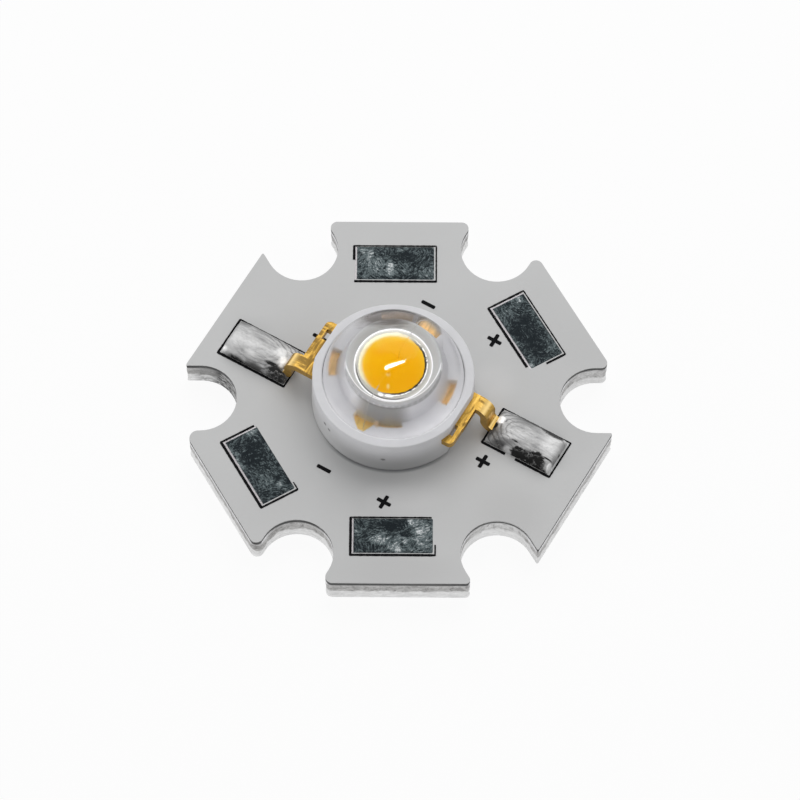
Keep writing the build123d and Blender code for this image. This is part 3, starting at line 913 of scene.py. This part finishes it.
def cup_edge(finish):
    """Lays on the marks at the filling's edge: a cream bloom on the upper left that is painted light, broken dark
    and white lines on the lower right that are painted shade and painted highlight, and two painted highlights.
    """
    ragged = finish.cloud(7.0, 3.0, 0.6, 0.5)
    out = finish.radius(AXIS + (-0.02, 0.05)) + (ragged - 0.5) * 0.10
    upper = finish.reach(-0.75, 0.66).ease(-0.2, 0.9)
    right = finish.reach(0.90, -0.44).ease(-0.1, 0.7)
    finish.over(out.ease(1.20, 1.24), (0.45, 0.44, 0.39))
    # Painted light on the upper left
    finish.over(out.ease(1.08, 1.26) * out.fade(1.27, 1.34) * upper * 0.95, (0.97, 0.90, 0.60))
    # Painted shade and painted highlight on the lower right
    finish.over(right * out.near(1.245, 0.025, 0.060) * ragged.ease(0.30, 0.42), (0.03, 0.03, 0.02))
    finish.over(right * out.near(1.305, 0.010, 0.040) * ragged.ease(0.40, 0.50), (1.0, 1.0, 0.96))
    # Two painted highlights
    for turn, radius, reach_round, reach_across in CUP_HIGHLIGHTS:
        finish.over(finish.patch(AXIS, turn, (radius, 0.0), (reach_across, reach_round), ragged, 0.3, 0.35), 1.0)


def silver_finish(metal):
    """Silver plating, turned and lightly stained, with a painted highlight on its outer edge over a dark line of
    painted shade on its lower left.
    """
    finish = Finish("Silver plate")
    cloud = finish.cloud(3.2, 4.0, 0.6, 0.6)
    out = finish.radius()
    finish.base(cloud.ease(0.45, 0.75) * 0.5, metal.silver, (0.42, 0.41, 0.38))
    plate = finish.tone
    cup_edge(finish)
    finish.over(out.ease(1.36, 1.44), plate)
    # Painted shade: a dark line on the lower-left side
    left = finish.reach(-0.60, -0.80).ease(0.50, 1.05)
    finish.over(left * out.near(1.425, 0.018, 0.040) * 0.85, 0.04)
    # Painted highlight along the outer edge
    finish.over(out.ease(1.455, 1.475), 0.97)
    return finish.finished(0.34 + cloud * 0.12, cloud, 0.008, Metallic=0.12, Specular_IOR_Level=0.2)


PITS = ((-97.0, 1.05), (-146.5, 1.42), (-141.5, 1.30))  # angle round the body and height over the board


def collar_lines(finish, cloud):
    """Lays on the collar's tones: paler inside an arc of painted white highlight, which draws near the cup at the
    front, and painted shade under the lip at the front.
    """
    out, height, crest = finish.radius(), finish.axis(2), BODY_HIGH[2]
    top = out.fade(1.94, 1.96) * height.ease(crest - 0.30, crest - 0.20)
    from_arc = finish.radius(AXIS + (0.0, 0.407)) - 1.977 + (cloud - 0.5) * 0.04
    finish.over(top, finish.mix(from_arc.ease(0.0, 0.12), (0.60, 0.61, 0.60), 0.46))
    # Painted highlight along the arc
    finish.over(top * finish.reach(-0.1, 1.0).fade(0.0, 1.2) * from_arc.near(0.0, 0.015, 0.055), 1.0)
    # Painted shade under the lip, at the front
    side = out.near(1.97, 0.03, 0.07) * height.fade(crest - 0.16, crest - 0.10)
    finish.over(side * finish.reach(0.25, 0.97).fade(-1.9, -1.5) * 0.75, (0.20, 0.20, 0.19))


def plastic_finish(package):
    """Moulded plastic: matt, faintly streaked, with a few small pits in its side; with painted shade low on its wall
    and more at the front, in the gap under the dome's skirt, at its foot and behind the cup, and painted light and
    shade in the recess.
    """
    finish = Finish("Moulded plastic")
    cloud = finish.noise(finish.stretched(1, 1, 2.5), 0.8, 3.0)
    grain = finish.cloud(10.0, 3.0)
    out, height = finish.radius(), finish.axis(2)
    inside = out.fade(3.50, 3.56)
    finish.base(cloud.ease(0.3, 0.7), shaded(package.plastic, 0.94), package.plastic)
    # Painted shade: the lower wall darker, and darker still at the front
    low = height.fade(BOARD_TOP + 0.5, BOARD_TOP + 2.25) * (1 - inside)
    ahead = finish.place.along((-0.1, -0.99, 0.0)).ease(2.4, 4.2)
    finish.over(low, finish.mix(ahead, package.wall, shaded(package.wall, 0.56)))
    # Painted light and shade in the recess: pale at the front, darker towards the back
    back = finish.reach(0.03, 1.0).ease(-2.9, 1.3)
    painted_light_and_shade = finish.mix(back, package.recess, shaded(package.recess, 0.60))
    finish.over(inside, finish.mix(cloud.ease(0.3, 0.7) * 0.25, painted_light_and_shade, (0.62, 0.61, 0.66)))
    neck = finish.patch(AXIS, 0.0, (-0.66, -2.10), (0.17, 0.24), grain, 0.4, 0.5)
    finish.over(neck * inside * 0.75, (0.82, 0.55, 0.22))
    collar_lines(finish, cloud)
    # Painted shade: a dark line in the gap under the dome's skirt
    finish.over(out.near(3.48, 0.02, 0.06) * finish.upright(0.3, 0.6) * 0.8, (0.12, 0.115, 0.125))
    # Painted brown shade behind the cup
    finish.over(back_painted_shade(finish) * inside * 0.85, package.shade)
    # Painted shade at the foot of the body
    finish.over(height.fade(BOARD_TOP + 0.02, BOARD_TOP + 0.16) * 0.55, 0.16)
    pits = None
    for angle, rise in PITS:
        spot = (*(AXIS + (BODY_HIGH[0] - AXIS[0]) * direction(angle)), BOARD_TOP + rise)
        pit = (finish.place.far_from(spot) + (grain - 0.5) * 0.16).fade(0.05, 0.16)
        pits = pit if pits is None else pits.most(pit)
    finish.over(pits * 0.8, package.pit)
    return finish.finished(
        0.46 + grain * 0.12 + inside * 0.3, grain * 0.5 + cloud * 0.5 - pits, 0.012, Specular_IOR_Level=0.4)


PHOSPHOR_HIGHLIGHTS = (((-0.20, -0.34), (0.13, 0.10)), ((-0.20, -0.84), (0.10, 0.18)))  # painted highlights: places from the axis, and reaches


def phosphor_finish(package):
    """Resin full of phosphor, paler towards the cup's edge, with painted shade towards the front, two painted
    highlights and a glow of emission that is painted light.
    """
    finish = Finish("Phosphor")
    cloud = finish.cloud(2.4, 4.0)
    grain = finish.cloud(26.0, 3.0)
    bands = finish.noise(finish.stretched(0.5, 2.2, 1.0), 1.6, 4.0)
    out = finish.place.far_from((*AXIS, CUP_HIGH[2])) + (cloud - 0.5) * 0.3
    finish.base(out.ease(0.86, 1.26), package.phosphor, package.phosphor_rim)
    # Painted shade: darker towards the front
    finish.over(finish.reach(-0.35, 0.94).fade(-0.9, 0.7) * 0.75, (0.86, 0.40, 0.0))
    finish.over(bands.ease(0.45, 0.70) * 0.35, (0.88, 0.36, 0.0))
    # Painted highlights
    for spot, reach in PHOSPHOR_HIGHLIGHTS:
        finish.over(finish.patch(AXIS, 0.0, spot, reach, cloud, 0.2, 0.9) * 0.8, (1.0, 0.70, 0.22))
    cup_edge(finish)
    # The phosphor really fluoresces, but this glow is emission that shines whatever the lamps: painted light
    return finish.finished(
        0.8, grain * 0.3 + cloud * 0.7, 0.012, Specular_IOR_Level=0.0, Emission_Color=finish.tone,
        Emission_Strength=package.glow)


def plain_finish(name, low, high, scale, roughness, metallic=0.0, detail=4.0):
    """Simple mottled finish for pieces that hardly show."""
    finish = Finish(name)
    cloud = finish.cloud(scale, detail)
    finish.base(cloud.ease(0.3, 0.7), low, high)
    return finish.finished(roughness, cloud, 0.006, Metallic=metallic)


def clear_finish(package):
    """Clear moulded resin, faintly hazy low down, that lets the lamps light what lies under it."""
    finish = Finish("Clear resin")
    haze = finish.radius().ease(2.40, 2.85)
    finish.set(
        Base_Color=package.dome, Roughness=haze * 0.22, IOR=1.5, Transmission_Weight=1.0, Specular_Tint=0.25,
        Normal=finish.bump(finish.cloud(1.1, 2.0), 0.004))
    clear = finish.node("ShaderNodeBsdfTransparent", {"Color": (0.97, 0.97, 0.98)})
    return finish.blended(finish.ray("Shadow").most(finish.ray("Diffuse")), clear)


# Geometry Nodes


def geometry_tree(name, sizes):
    """Empty geometry tree with named inputs, and the wires that come in."""
    group = bpy.data.node_groups.new(name, "GeometryNodeTree")
    group.interface.new_socket("Geometry", in_out="INPUT", socket_type="NodeSocketGeometry")
    for title, kind in sizes.items():
        group.interface.new_socket(title, in_out="INPUT", socket_type=kind)
    group.interface.new_socket("Geometry", in_out="OUTPUT", socket_type="NodeSocketGeometry")
    tree = Tree(group)
    entry = group.nodes.new("NodeGroupInput")
    return tree, {socket.name: Wire(tree, socket) for socket in entry.outputs if socket.name}


def together(tree, *parts):
    """Joins pieces of geometry."""
    join = tree.node("GeometryNodeJoinGeometry")
    for part in parts:
        tree.feed(join.socket.node.inputs[0], part)
    return join


def end_tree(tree, geometry, material):
    """Realises, sets the material and closes a geometry tree."""
    real = tree.node("GeometryNodeRealizeInstances", (geometry,))
    final = tree.node("GeometryNodeSetMaterial", {"Geometry": real, "Material": material})
    tree.node("NodeGroupOutput", (final,))


def grown(piece, tree, values):
    """Runs a geometry tree on a piece with the given input values and keeps the plain mesh."""
    modifier = piece.modifiers.new("Shape", "NODES")
    modifier.node_group = tree.tree
    for item in tree.tree.interface.items_tree:
        if item.in_out == "INPUT" and item.name in values:
            modifier[item.identifier] = values[item.name]
    return bake_modifiers(piece)


def points_with(name, points, attributes):
    """Object of loose points in millimetres, each with named values."""
    mesh = bpy.data.meshes.new(name)
    mesh.from_pydata([tuple(np.asarray(point) * MM) for point in points], [], [])
    for title, values in attributes.items():
        many = np.ndim(values[0]) > 0
        attribute = mesh.attributes.new(title, "FLOAT_VECTOR" if many else "FLOAT", "POINT")
        attribute.data.foreach_set("vector" if many else "value", np.ravel(values).astype(np.float32))
    return link(name, mesh)


def named(tree, name, kind="FLOAT"):
    """Wire of a named value carried by the geometry."""
    return tree.node("GeometryNodeInputNamedAttribute", {"Name": name}, data_type=kind)


RUBBED_RAGGED = 0.25 * MM  # how much the border of a rubbed spot wanders
LINE_RAGGED = 0.045 * MM  # how much half the line's width wanders


def frame_tree(material):
    """Printed line round each pad: uneven, thicker on one side and rubbed off at one spot."""
    tree, sizes = geometry_tree("Printed frames", {
        "Width": "NodeSocketFloat", "Height": "NodeSocketFloat", "Shift": "NodeSocketVector",
        "Step": "NodeSocketFloat"})
    square = tree.node("GeometryNodeCurvePrimitiveQuadrilateral", {0: 1.0, 1: 1.0})
    turn = tree.joined(0.0, 0.0, named(tree, "turn"))
    scale = named(tree, "size", "FLOAT_VECTOR")
    frames = tree.node("GeometryNodeInstanceOnPoints", {
        "Points": sizes["Geometry"], "Instance": square, "Rotation": turn, "Scale": scale})
    lines = tree.node("GeometryNodeRealizeInstances", (frames,))
    lines = tree.node("GeometryNodeResampleCurve", {"Curve": lines, "Length": sizes["Step"]}, mode="LENGTH")
    here = tree.node("GeometryNodeInputPosition")
    heading = tree.node("GeometryNodeInputTangent")
    out = heading.vector("CROSS_PRODUCT", (0, 0, 1))
    middle = named(tree, "middle", "FLOAT_VECTOR")
    facing = out.along(here.vector("SUBTRACT", middle)).maths("SIGN")
    side = out.along(sizes["Shift"]) * facing
    lines = tree.node("GeometryNodeStoreNamedAttribute", {
        "Geometry": lines, "Name": "side", "Value": side}, data_type="FLOAT", domain="POINT")
    lines = tree.node("GeometryNodeCurveToMesh", (lines,))
    place_mm = here.vector("SCALE", Scale=1 / MM)
    ragged = tree.noise(place_mm, 7.0, 3.0)
    spot = here.far_from(named(tree, "worn_spot", "FLOAT_VECTOR"))
    rubbed = spot < named(tree, "worn_reach") + (ragged - 0.5) * RUBBED_RAGGED
    lines = tree.node(
        "GeometryNodeDeleteGeometry", {"Geometry": lines, "Selection": rubbed}, domain="POINT")
    lines = tree.node("GeometryNodeMeshToCurve", (lines,))
    half_width = sizes["Width"] / 2 + named(tree, "side") + (ragged - 0.5) * LINE_RAGGED
    lines = tree.node("GeometryNodeSetCurveNormal", {"Curve": lines}, mode="Z_UP")
    thickness = sizes["Height"] * 2 / sizes["Width"]
    flat = tree.node("GeometryNodeCurvePrimitiveQuadrilateral", {0: 2.0, 1: thickness})
    ribbon = tree.node("GeometryNodeCurveToMesh", {
        "Curve": lines, "Profile Curve": flat, "Scale": half_width, "Fill Caps": True})
    end_tree(tree, ribbon, material)
    return tree


def mark_tree(material):
    """Polarity marks: a stroke at each point, and a second one across it where the point asks for it."""
    tree, sizes = geometry_tree("Polarity marks", {
        "Length": "NodeSocketFloat", "Width": "NodeSocketFloat", "Height": "NodeSocketFloat"})
    bar = tree.node("GeometryNodeCurvePrimitiveQuadrilateral", {0: sizes["Length"], 1: sizes["Width"]})
    bar = tree.node("GeometryNodeFilletCurve", {
        "Curve": bar, "Radius": sizes["Width"] * 0.3, "Count": 4}, mode="POLY")
    face = tree.node("GeometryNodeFillCurve", (bar,), mode="NGONS")
    top = tree.node("GeometryNodeExtrudeMesh", {
        "Mesh": face, "Offset": (0.0, 0.0, 1.0), "Offset Scale": sizes["Height"], "Individual": False})
    both = together(tree, top, tree.node("GeometryNodeFlipFaces", (face,)))
    stroke = tree.node("GeometryNodeMergeByDistance", {"Geometry": both, "Distance": 1e-7})
    turn = named(tree, "turn")
    strokes = tree.node("GeometryNodeInstanceOnPoints", {
        "Points": sizes["Geometry"], "Instance": stroke, "Rotation": tree.joined(0.0, 0.0, turn)})
    crossed = tree.node("GeometryNodeInstanceOnPoints", {
        "Points": sizes["Geometry"], "Selection": named(tree, "plus") > 0.5, "Instance": stroke,
        "Rotation": tree.joined(0.0, 0.0, turn + math.pi / 2), "Scale": (1.0, 1.0, 1.2)})
    end_tree(tree, together(tree, strokes, crossed), material)
    return tree


# Operators


class LedOperator:
    """Shared options of the operators."""

    bl_options = {"REGISTER", "UNDO"}


class LED_OT_board(LedOperator, bpy.types.Operator):
    """Punched core, resin edge, copper and the white coat"""

    bl_idname = "led.board"
    bl_label = "Board"

    LIP = 0.05  # height of the untorn lip at the foot
    TEAR_START = 0.12  # height over which the tear deepens
    FACE_INSET = 0.03  # from the border to the loop that closes a face

    def execute(self, context):
        board, metal = context.scene.led_board, context.scene.led_metal
        loop = outline("aluminium_core", CORE_HIGH[2], board.edge_step / MM)
        normals = outward(loop)
        torn_from, torn_depth = board.torn_from / MM, board.torn_depth / MM
        top = CORE_HIGH[2]
        heights = [top, top, top - 0.03, *np.linspace(top - 0.10, torn_from + 0.06, 4)]
        heights += [*np.linspace(torn_from, 0.10, 13), self.LIP, 0.0, 0.0]
        rows = []
        for index, height in enumerate(heights):
            row = []
            for (x, y), (nx, ny) in zip(loop, normals):
                tear = clamped((torn_from + 0.35 * rough(x, y, 0, 0.9, 2) - height) / self.TEAR_START)
                lip = clamped((height - self.LIP) / self.TEAR_START)
                depth = torn_depth * tear * lip * (0.55 + 0.75 * rough(x, y, 1.4 * height, 3.2))
                depth = clamped(depth, high=1.6 * torn_depth)
                if index in (0, len(heights) - 1):
                    depth = self.FACE_INSET
                row.append((x - nx * depth, y - ny * depth, height))
            rows.append(row)
        points, faces = skin(rows)
        core = link("core", mesh_of("core", points, faces, 40.0))
        place(core, core_finish(board), "core_metal", "aluminium_core")
        dressed("solder_mask", "mask", coat_finish(board), "white_mask", edge=0.012)
        paint(("dielectric_layer",), resin_finish(board))
        # Seen only as a pale line round the open pads
        tinned = plain_finish("Tinned copper", shaded(metal.tinned, 0.6), metal.tinned, 5.0, 0.4, 0.8, 3.0)
        paint(("anode_copper", "cathode_copper", "thermal_copper"), tinned)
        return {"FINISHED"}


class LED_OT_frames(LedOperator, bpy.types.Operator):
    """Printed lines round the six pads"""

    bl_idname = "led.frames"
    bl_label = "Printed frames"

    WORN = {
        # Pad: place of the rubbed spot along X and Y of the board from the pad's middle, and its reach
        "tin_pad_top": (-2.05, -0.42, 0.58),
        "tin_pad_upper_right": (0.50, -2.05, 0.50),
        "tin_pad_bottom": (2.25, 0.32, 0.78),
        "tin_pad_lower_left": (3.33, 2.33, 3.60),
        "solder_joint_anode": (-0.80, -0.76, 0.25),
    }

    # How wide the gap round a pad is
    OPEN_GAP, SOLDERED_GAP = 0.11, 0.09

    # How far the print lies off the pads, and off the cathode's pad
    SHIFT = (0.03, -0.03)
    CATHODE_SHIFT = (-0.015, 0.008)

    def execute(self, context):
        board = context.scene.led_board
        rows = {"points": [], "turn": [], "size": [], "middle": [], "worn_spot": [], "worn_reach": []}
        pads = {**{node: pad_angle(node) for node in OPEN_PADS}, **SOLDERED_PADS}
        for node, angle in pads.items():
            middle, half = oriented(node, angle)
            size = 2 * (half + (self.OPEN_GAP if node in OPEN_PADS else self.SOLDERED_GAP))
            spot_x, spot_y, reach = self.WORN.get(node, (0.0, 0.0, 0.0))
            level = BOARD_TOP + board.ink_height / MM / 2
            middle = middle + (self.CATHODE_SHIFT if angle == CATHODE_ANGLE else self.SHIFT)
            rows["points"].append((*middle, level))
            rows["turn"].append(math.radians(angle))
            rows["size"].append((*(size * MM), 1.0))
            rows["middle"].append((*(middle * MM), level * MM))
            rows["worn_spot"].append(((middle[0] + spot_x) * MM, (middle[1] + spot_y) * MM, level * MM))
            rows["worn_reach"].append(reach * MM)
        points = rows.pop("points")
        piece = points_with("printed_frames", points, rows)
        ink = ink_finish(board)
        grown(piece, frame_tree(ink), {
            "Width": board.line_width, "Height": board.ink_height,
            "Shift": (-0.6 * board.line_shift, -0.5 * board.line_shift, 0.0), "Step": 0.04 * MM})
        place(piece, ink, "black_print", "pad_outlines")
        return {"FINISHED"}


class LED_OT_marks(LedOperator, bpy.types.Operator):
    """Plus and minus marks"""

    bl_idname = "led.marks"
    bl_label = "Polarity marks"

    # Place on the board, and one for a plus or nothing for a minus
    MARKS = (
        (1.45, 5.30, 0), (4.73, 3.30, 1), (4.15, -3.40, 1), (-0.66, -5.65, 1), (-3.60, -3.86, 0), (-3.91, 3.40, 0))

    def execute(self, context):
        board = context.scene.led_board
        points = [(x, y, BOARD_TOP) for x, y, plus in self.MARKS]
        piece = points_with("polarity_marks", points, {
            "turn": [math.radians(ANODE_ANGLE)] * len(points), "plus": [plus for x, y, plus in self.MARKS]})
        ink = ink_finish(board)
        grown(piece, mark_tree(ink), {
            "Length": board.mark_length, "Width": board.mark_width, "Height": board.ink_height})
        place(piece, ink, "black_print")
        return {"FINISHED"}


class LED_OT_tin(LedOperator, bpy.types.Operator):
    """Wavy tin on the four open pads"""

    bl_idname = "led.tin"
    bl_label = "Tin pads"

    OVERHANG = 0.028  # how far the tin reaches past its node
    CORNER = 0.03
    EDGE_DROP = 0.012
    STEPS = (44, 96)

    def execute(self, context):
        metal = context.scene.led_metal
        relief = metal.tin_relief / MM
        for node in OPEN_PADS:
            angle = pad_angle(node)
            middle, half = oriented(node, angle)
            low, high = span(node)

            def lift(s, t, u, v):
                """Height of the tin at a place of the pad, given from -1 to 1 each way and in millimetres."""
                x, y = beside(middle, angle, u, v)
                wave = 0.5 + 0.5 * rough(x, y, 7.0, 1.3) + 0.2 * rough(x, y, 3.0, 5.0)
                edge = (1 - abs(s) ** 14) * (1 - abs(t) ** 22)
                return high[2] - relief * (1 - clamped(wave) * edge) - self.EDGE_DROP * (1 - edge)

            piece = height_field(
                node + "_coat", middle, half + self.OVERHANG, angle, self.STEPS, lift, low[2], self.CORNER)
            place(piece, tin_finish(metal, node), "tin", node)
        return {"FINISHED"}


class LED_OT_solder(LedOperator, bpy.types.Operator):
    """Flowed solder over the feet of the two leads"""

    bl_idname = "led.solder"
    bl_label = "Solder joints"

    SWELL_AT = 0.15  # middle of the swell along the pad
    SWELL_LENGTH, SWELL_WIDTH = 2.35, 1.12  # from its middle to its ends and sides
    FILM = 0.07  # thickness of the solder beside the swell
    FOOT = 0.12  # share of the height that is left at the border
    CORNER = 0.06
    STEPS = (120, 72)

    def execute(self, context):
        metal = context.scene.led_metal
        for node, angle in SOLDERED_PADS.items():
            middle, half = oriented(node, angle)
            low, high = span(node)
            crown = high[2] - BOARD_TOP

            def lift(s, t, u, v):
                """Height of the solder at a place of the pad, given from -1 to 1 each way and in millimetres."""
                x, y = beside(middle, angle, u, v)
                out = abs((u - self.SWELL_AT) / self.SWELL_LENGTH) ** 4 + abs(v / self.SWELL_WIDTH) ** 4
                swell = max(0.0, 1 - (out + 0.10 * rough(x, y, 2.0, 0.9, 2))) ** 0.8
                edge = (1 - abs(s) ** 40) * (1 - abs(t) ** 26)
                film = self.FILM * (0.75 + 0.5 * rough(x, y, 5.0, 1.4))
                top = max(film, 0.01) + (crown - self.FILM) * swell * 0.97
                return BOARD_TOP + min(crown, top) * (self.FOOT + (1 - self.FOOT) * edge)

            piece = height_field(node + "_flow", middle, half, angle, self.STEPS, lift, low[2], self.CORNER)
            place(piece, solder_finish(metal, node, angle), "solder", node)
        return {"FINISHED"}


class LED_OT_leads(LedOperator, bpy.types.Operator):
    """Gilded leads and bond wires"""

    bl_idname = "led.leads"
    bl_label = "Leads"

    def execute(self, context):
        metal, package = context.scene.led_metal, context.scene.led_package
        edge = metal.lead_round / MM
        for side, angle, wear in (("anode", ANODE_ANGLE, 0.0), ("cathode", CATHODE_ANGLE, 0.10)):
            finish = gold_finish(metal, package, angle, wear)
            dressed(f"{side}_lead", f"{side}_strip", finish, "gold_plate", edge=edge)
        paint(("anode_wire", "cathode_wire"), wire_finish())
        return {"FINISHED"}


class LED_OT_body(LedOperator, bpy.types.Operator):
    """Moulded body with its recess and collar"""

    bl_idname = "led.body"
    bl_label = "Package body"

    def execute(self, context):
        finish = plastic_finish(context.scene.led_package)
        dressed("package_body", "moulded_body", finish, "moulded_plastic", angle=28.0)
        return {"FINISHED"}


class LED_OT_emitter(LedOperator, bpy.types.Operator):
    """Slug, cup, chip, phosphor and paste"""

    bl_idname = "led.emitter"
    bl_label = "Emitter"

    def execute(self, context):
        package, metal = context.scene.led_package, context.scene.led_metal
        dressed("heat_slug", "silvered_slug", silver_finish(metal), "silvered_copper")
        dressed("phosphor_fill", "phosphor_resin", phosphor_finish(package), "phosphor")
        paint(("led_chip",), plain_finish("Chip", package.chip, (0.22, 0.28, 0.45), 8.0, 0.15))
        paint(("die_attach",), plain_finish("Die attach", 0.42, (0.70, 0.70, 0.69), 12.0, 0.4, 0.9))
        low = shaded(package.paste, 0.85)
        paint(("thermal_paste",), plain_finish("Thermal paste", low, package.paste, 2.0, 0.7))
        return {"FINISHED"}


class LED_OT_dome(LedOperator, bpy.types.Operator):
    """Clear dome, filled down to the leads"""

    bl_idname = "led.dome"
    bl_label = "Clear dome"

    # Radii from the package's axis, in millimetres
    RADIUS = 3.50  # of the dome's sphere
    WELL = 3.05  # of the well down to the leads
    COLLAR = 1.95  # of the body's collar
    COLLAR_LIP = 0.10
    RIM = 1.51  # of the slug's rim
    SINK = 0.01  # how far the resin reaches into what it lies on

    def execute(self, context):
        package = context.scene.led_package
        centre = LENS_HIGH[2] - self.RADIUS
        skirt = (LENS_HIGH[0] - LENS_LOW[0]) / 2
        foot, leads, collar_top, rim, crown = (
            height - self.SINK for height in (LENS_LOW[2], LEAD_HIGH[2], BODY_HIGH[2], SLUG_HIGH[2], CUP_HIGH[2]))
        collar = self.COLLAR - self.SINK
        cup = (CUP_HIGH[0] - CUP_LOW[0]) / 2
        arc = np.linspace(math.pi / 2, math.acos(min(1.0, skirt / self.RADIUS)), 80)
        profile = [(self.RADIUS * math.cos(turn), centre + self.RADIUS * math.sin(turn)) for turn in arc]
        profile[0] = (0.0, LENS_HIGH[2])
        profile += [(skirt, height) for height in np.linspace(profile[-1][1], foot, 6)[1:]]
        profile += [
            (self.WELL + 0.01, foot), (self.WELL, leads), (collar, leads), (collar, collar_top),
            (collar - self.COLLAR_LIP, collar_top), (self.RIM, rim), (cup, rim)]
        profile += [(part * cup, crown - (crown - rim) * part**2) for part in (0.8, 0.6, 0.4, 0.2)]
        profile.append((0.0, crown))
        points, faces = skin(lathe(profile, package.dome_segments))
        dome = link("clear_dome", mesh_of("clear_dome", points, faces, 35.0))
        place(dome, clear_finish(package), "clear_lens", "lens", "silicone_gel")
        return {"FINISHED"}


def lamp(name, place_mm, width, depth, radiance, turn=0.0):
    """Area lamp turned to the board, which looks equally bright from anywhere and is given by its radiance."""
    data = bpy.data.lights.new(name, "AREA")
    data.shape = "RECTANGLE"
    data.size, data.size_y = width * MM, depth * MM
    data.energy = radiance * math.pi * data.size * data.size_y
    piece = link(name, data)
    spot = Vector(place_mm)
    facing = (spot - Vector((0.0, 0.0, BOARD_TOP))).normalized().to_track_quat("Z", "Y").to_matrix().to_4x4()
    piece.matrix_world = Matrix.Translation(spot * MM) @ facing @ Matrix.Rotation(math.radians(turn), 4, "Z")
    return piece


class LED_OT_stage(LedOperator, bpy.types.Operator):
    """Floor, lamps, surroundings and camera"""

    bl_idname = "led.stage"
    bl_label = "Stage"

    def execute(self, context):
        scene, stage = context.scene, context.scene.led_stage
        self.floor(stage)
        lamp("Panel", (26.0, 128.0, 151.0), 225.0, 190.0, stage.panel_light)
        lamp("Side panel", (-260.0, -70.0, 60.0), 160.0, 90.0, stage.side_light)
        lamp("Front panel", (20.0, -260.0, 150.0), 200.0, 120.0, stage.front_light)
        strip = lamp("Strip", (12.0, -6.0, 300.0), 186.0, 30.0, stage.strip_light, 139.0)
        receivers = bpy.data.collections.new("Lit by the strip")
        receivers.objects.link(bpy.data.objects["clear_dome"])
        strip.light_linking.receiver_collection = receivers
        self.surroundings(scene, stage)
        self.camera(scene, stage)
        scene.view_settings.view_transform = "Standard"
        return {"FINISHED"}

    def floor(self, stage):
        """Wide pale floor that shows white to the camera and keeps the shadow."""
        reach = 4000.0
        corners = [(-reach, -reach, 0), (reach, -reach, 0), (reach, reach, 0), (-reach, reach, 0)]
        floor = link("floor", mesh_of("floor", corners, [(0, 1, 2, 3)]))
        finish = Finish("Pale floor")
        finish.base(finish.cloud(0.004, 2.0), stage.floor, shaded(stage.floor, 0.985))
        finish.set(Base_Color=finish.tone, Roughness=0.9, Specular_IOR_Level=0.0)
        white = finish.node("ShaderNodeEmission", {"Color": 1.0, "Strength": 1.0})
        floor.data.materials.append(finish.blended(finish.seen_ray() * 0.93, white))

    def surroundings(self, scene, stage):
        """Even light from all sides, and white behind the object."""
        world = bpy.data.worlds.new("Studio")
        world.use_nodes = True
        scene.world = world
        tree = Tree(world.node_tree)
        background = world.node_tree.nodes["Background"]
        tree.feed(background.inputs["Color"], 1.0)
        tree.feed(background.inputs["Strength"], stage.fill_light + tree.seen_ray() * (1.0 - stage.fill_light))

    def camera(self, scene, stage):
        """Camera at the photograph's angle."""
        elevation, azimuth, roll = stage.elevation, stage.azimuth, stage.roll
        back = Vector((
            math.sin(azimuth) * math.cos(elevation), -math.cos(azimuth) * math.cos(elevation), math.sin(elevation)))
        level = Vector((math.cos(azimuth), math.sin(azimuth), 0.0))
        rise = back.cross(level)
        right = level * math.cos(roll) + rise * math.sin(roll)
        up = rise * math.cos(roll) - level * math.sin(roll)
        target = Vector((0.0, 0.0, BOARD_TOP * MM))
        data = bpy.data.cameras.new("Camera")
        data.lens = stage.focal
        data.sensor_width = 36.0
        data.clip_start, data.clip_end = 0.01, 20.0
        camera = link("Camera", data)
        spot = target + back * stage.distance + right * stage.aim_right + up * stage.aim_up
        turned = Matrix((right, up, back)).transposed().to_4x4()
        camera.matrix_world = Matrix.Translation(spot) @ turned
        scene.camera = camera


OPERATORS = (
    LED_OT_board, LED_OT_frames, LED_OT_marks, LED_OT_tin, LED_OT_solder, LED_OT_leads, LED_OT_body, LED_OT_emitter,
    LED_OT_dome, LED_OT_stage)


class LED_PT_panel(bpy.types.Panel):
    """Sidebar panel that lists the steps"""

    bl_idname = "LED_PT_panel"
    bl_label = "LED board"
    bl_space_type = "VIEW_3D"
    bl_region_type = "UI"
    bl_category = "LED board"

    def draw(self, context):
        for operator in OPERATORS:
            self.layout.operator(operator.bl_idname)
        for name in SETTINGS:
            group = getattr(context.scene, name)
            box = self.layout.box()
            for key in group.bl_rna.properties.keys():
                if key not in ("rna_type", "name"):
                    box.prop(group, key)


CLASSES = (*SETTINGS.values(), *OPERATORS, LED_PT_panel)


def register():
    """Registers the classes and the settings."""
    for cls in CLASSES:
        bpy.utils.register_class(cls)
    for name, cls in SETTINGS.items():
        setattr(bpy.types.Scene, name, PointerProperty(type=cls))


def unregister():
    """Removes the settings and the classes."""
    for name in SETTINGS:
        delattr(bpy.types.Scene, name)
    for cls in reversed(CLASSES):
        bpy.utils.unregister_class(cls)


def main():
    """Builds everything in order."""
    register()
    for operator in OPERATORS:
        group, name = operator.bl_idname.split(".")
        getattr(getattr(bpy.ops, group), name)()


if __name__ == "__main__":
    main()
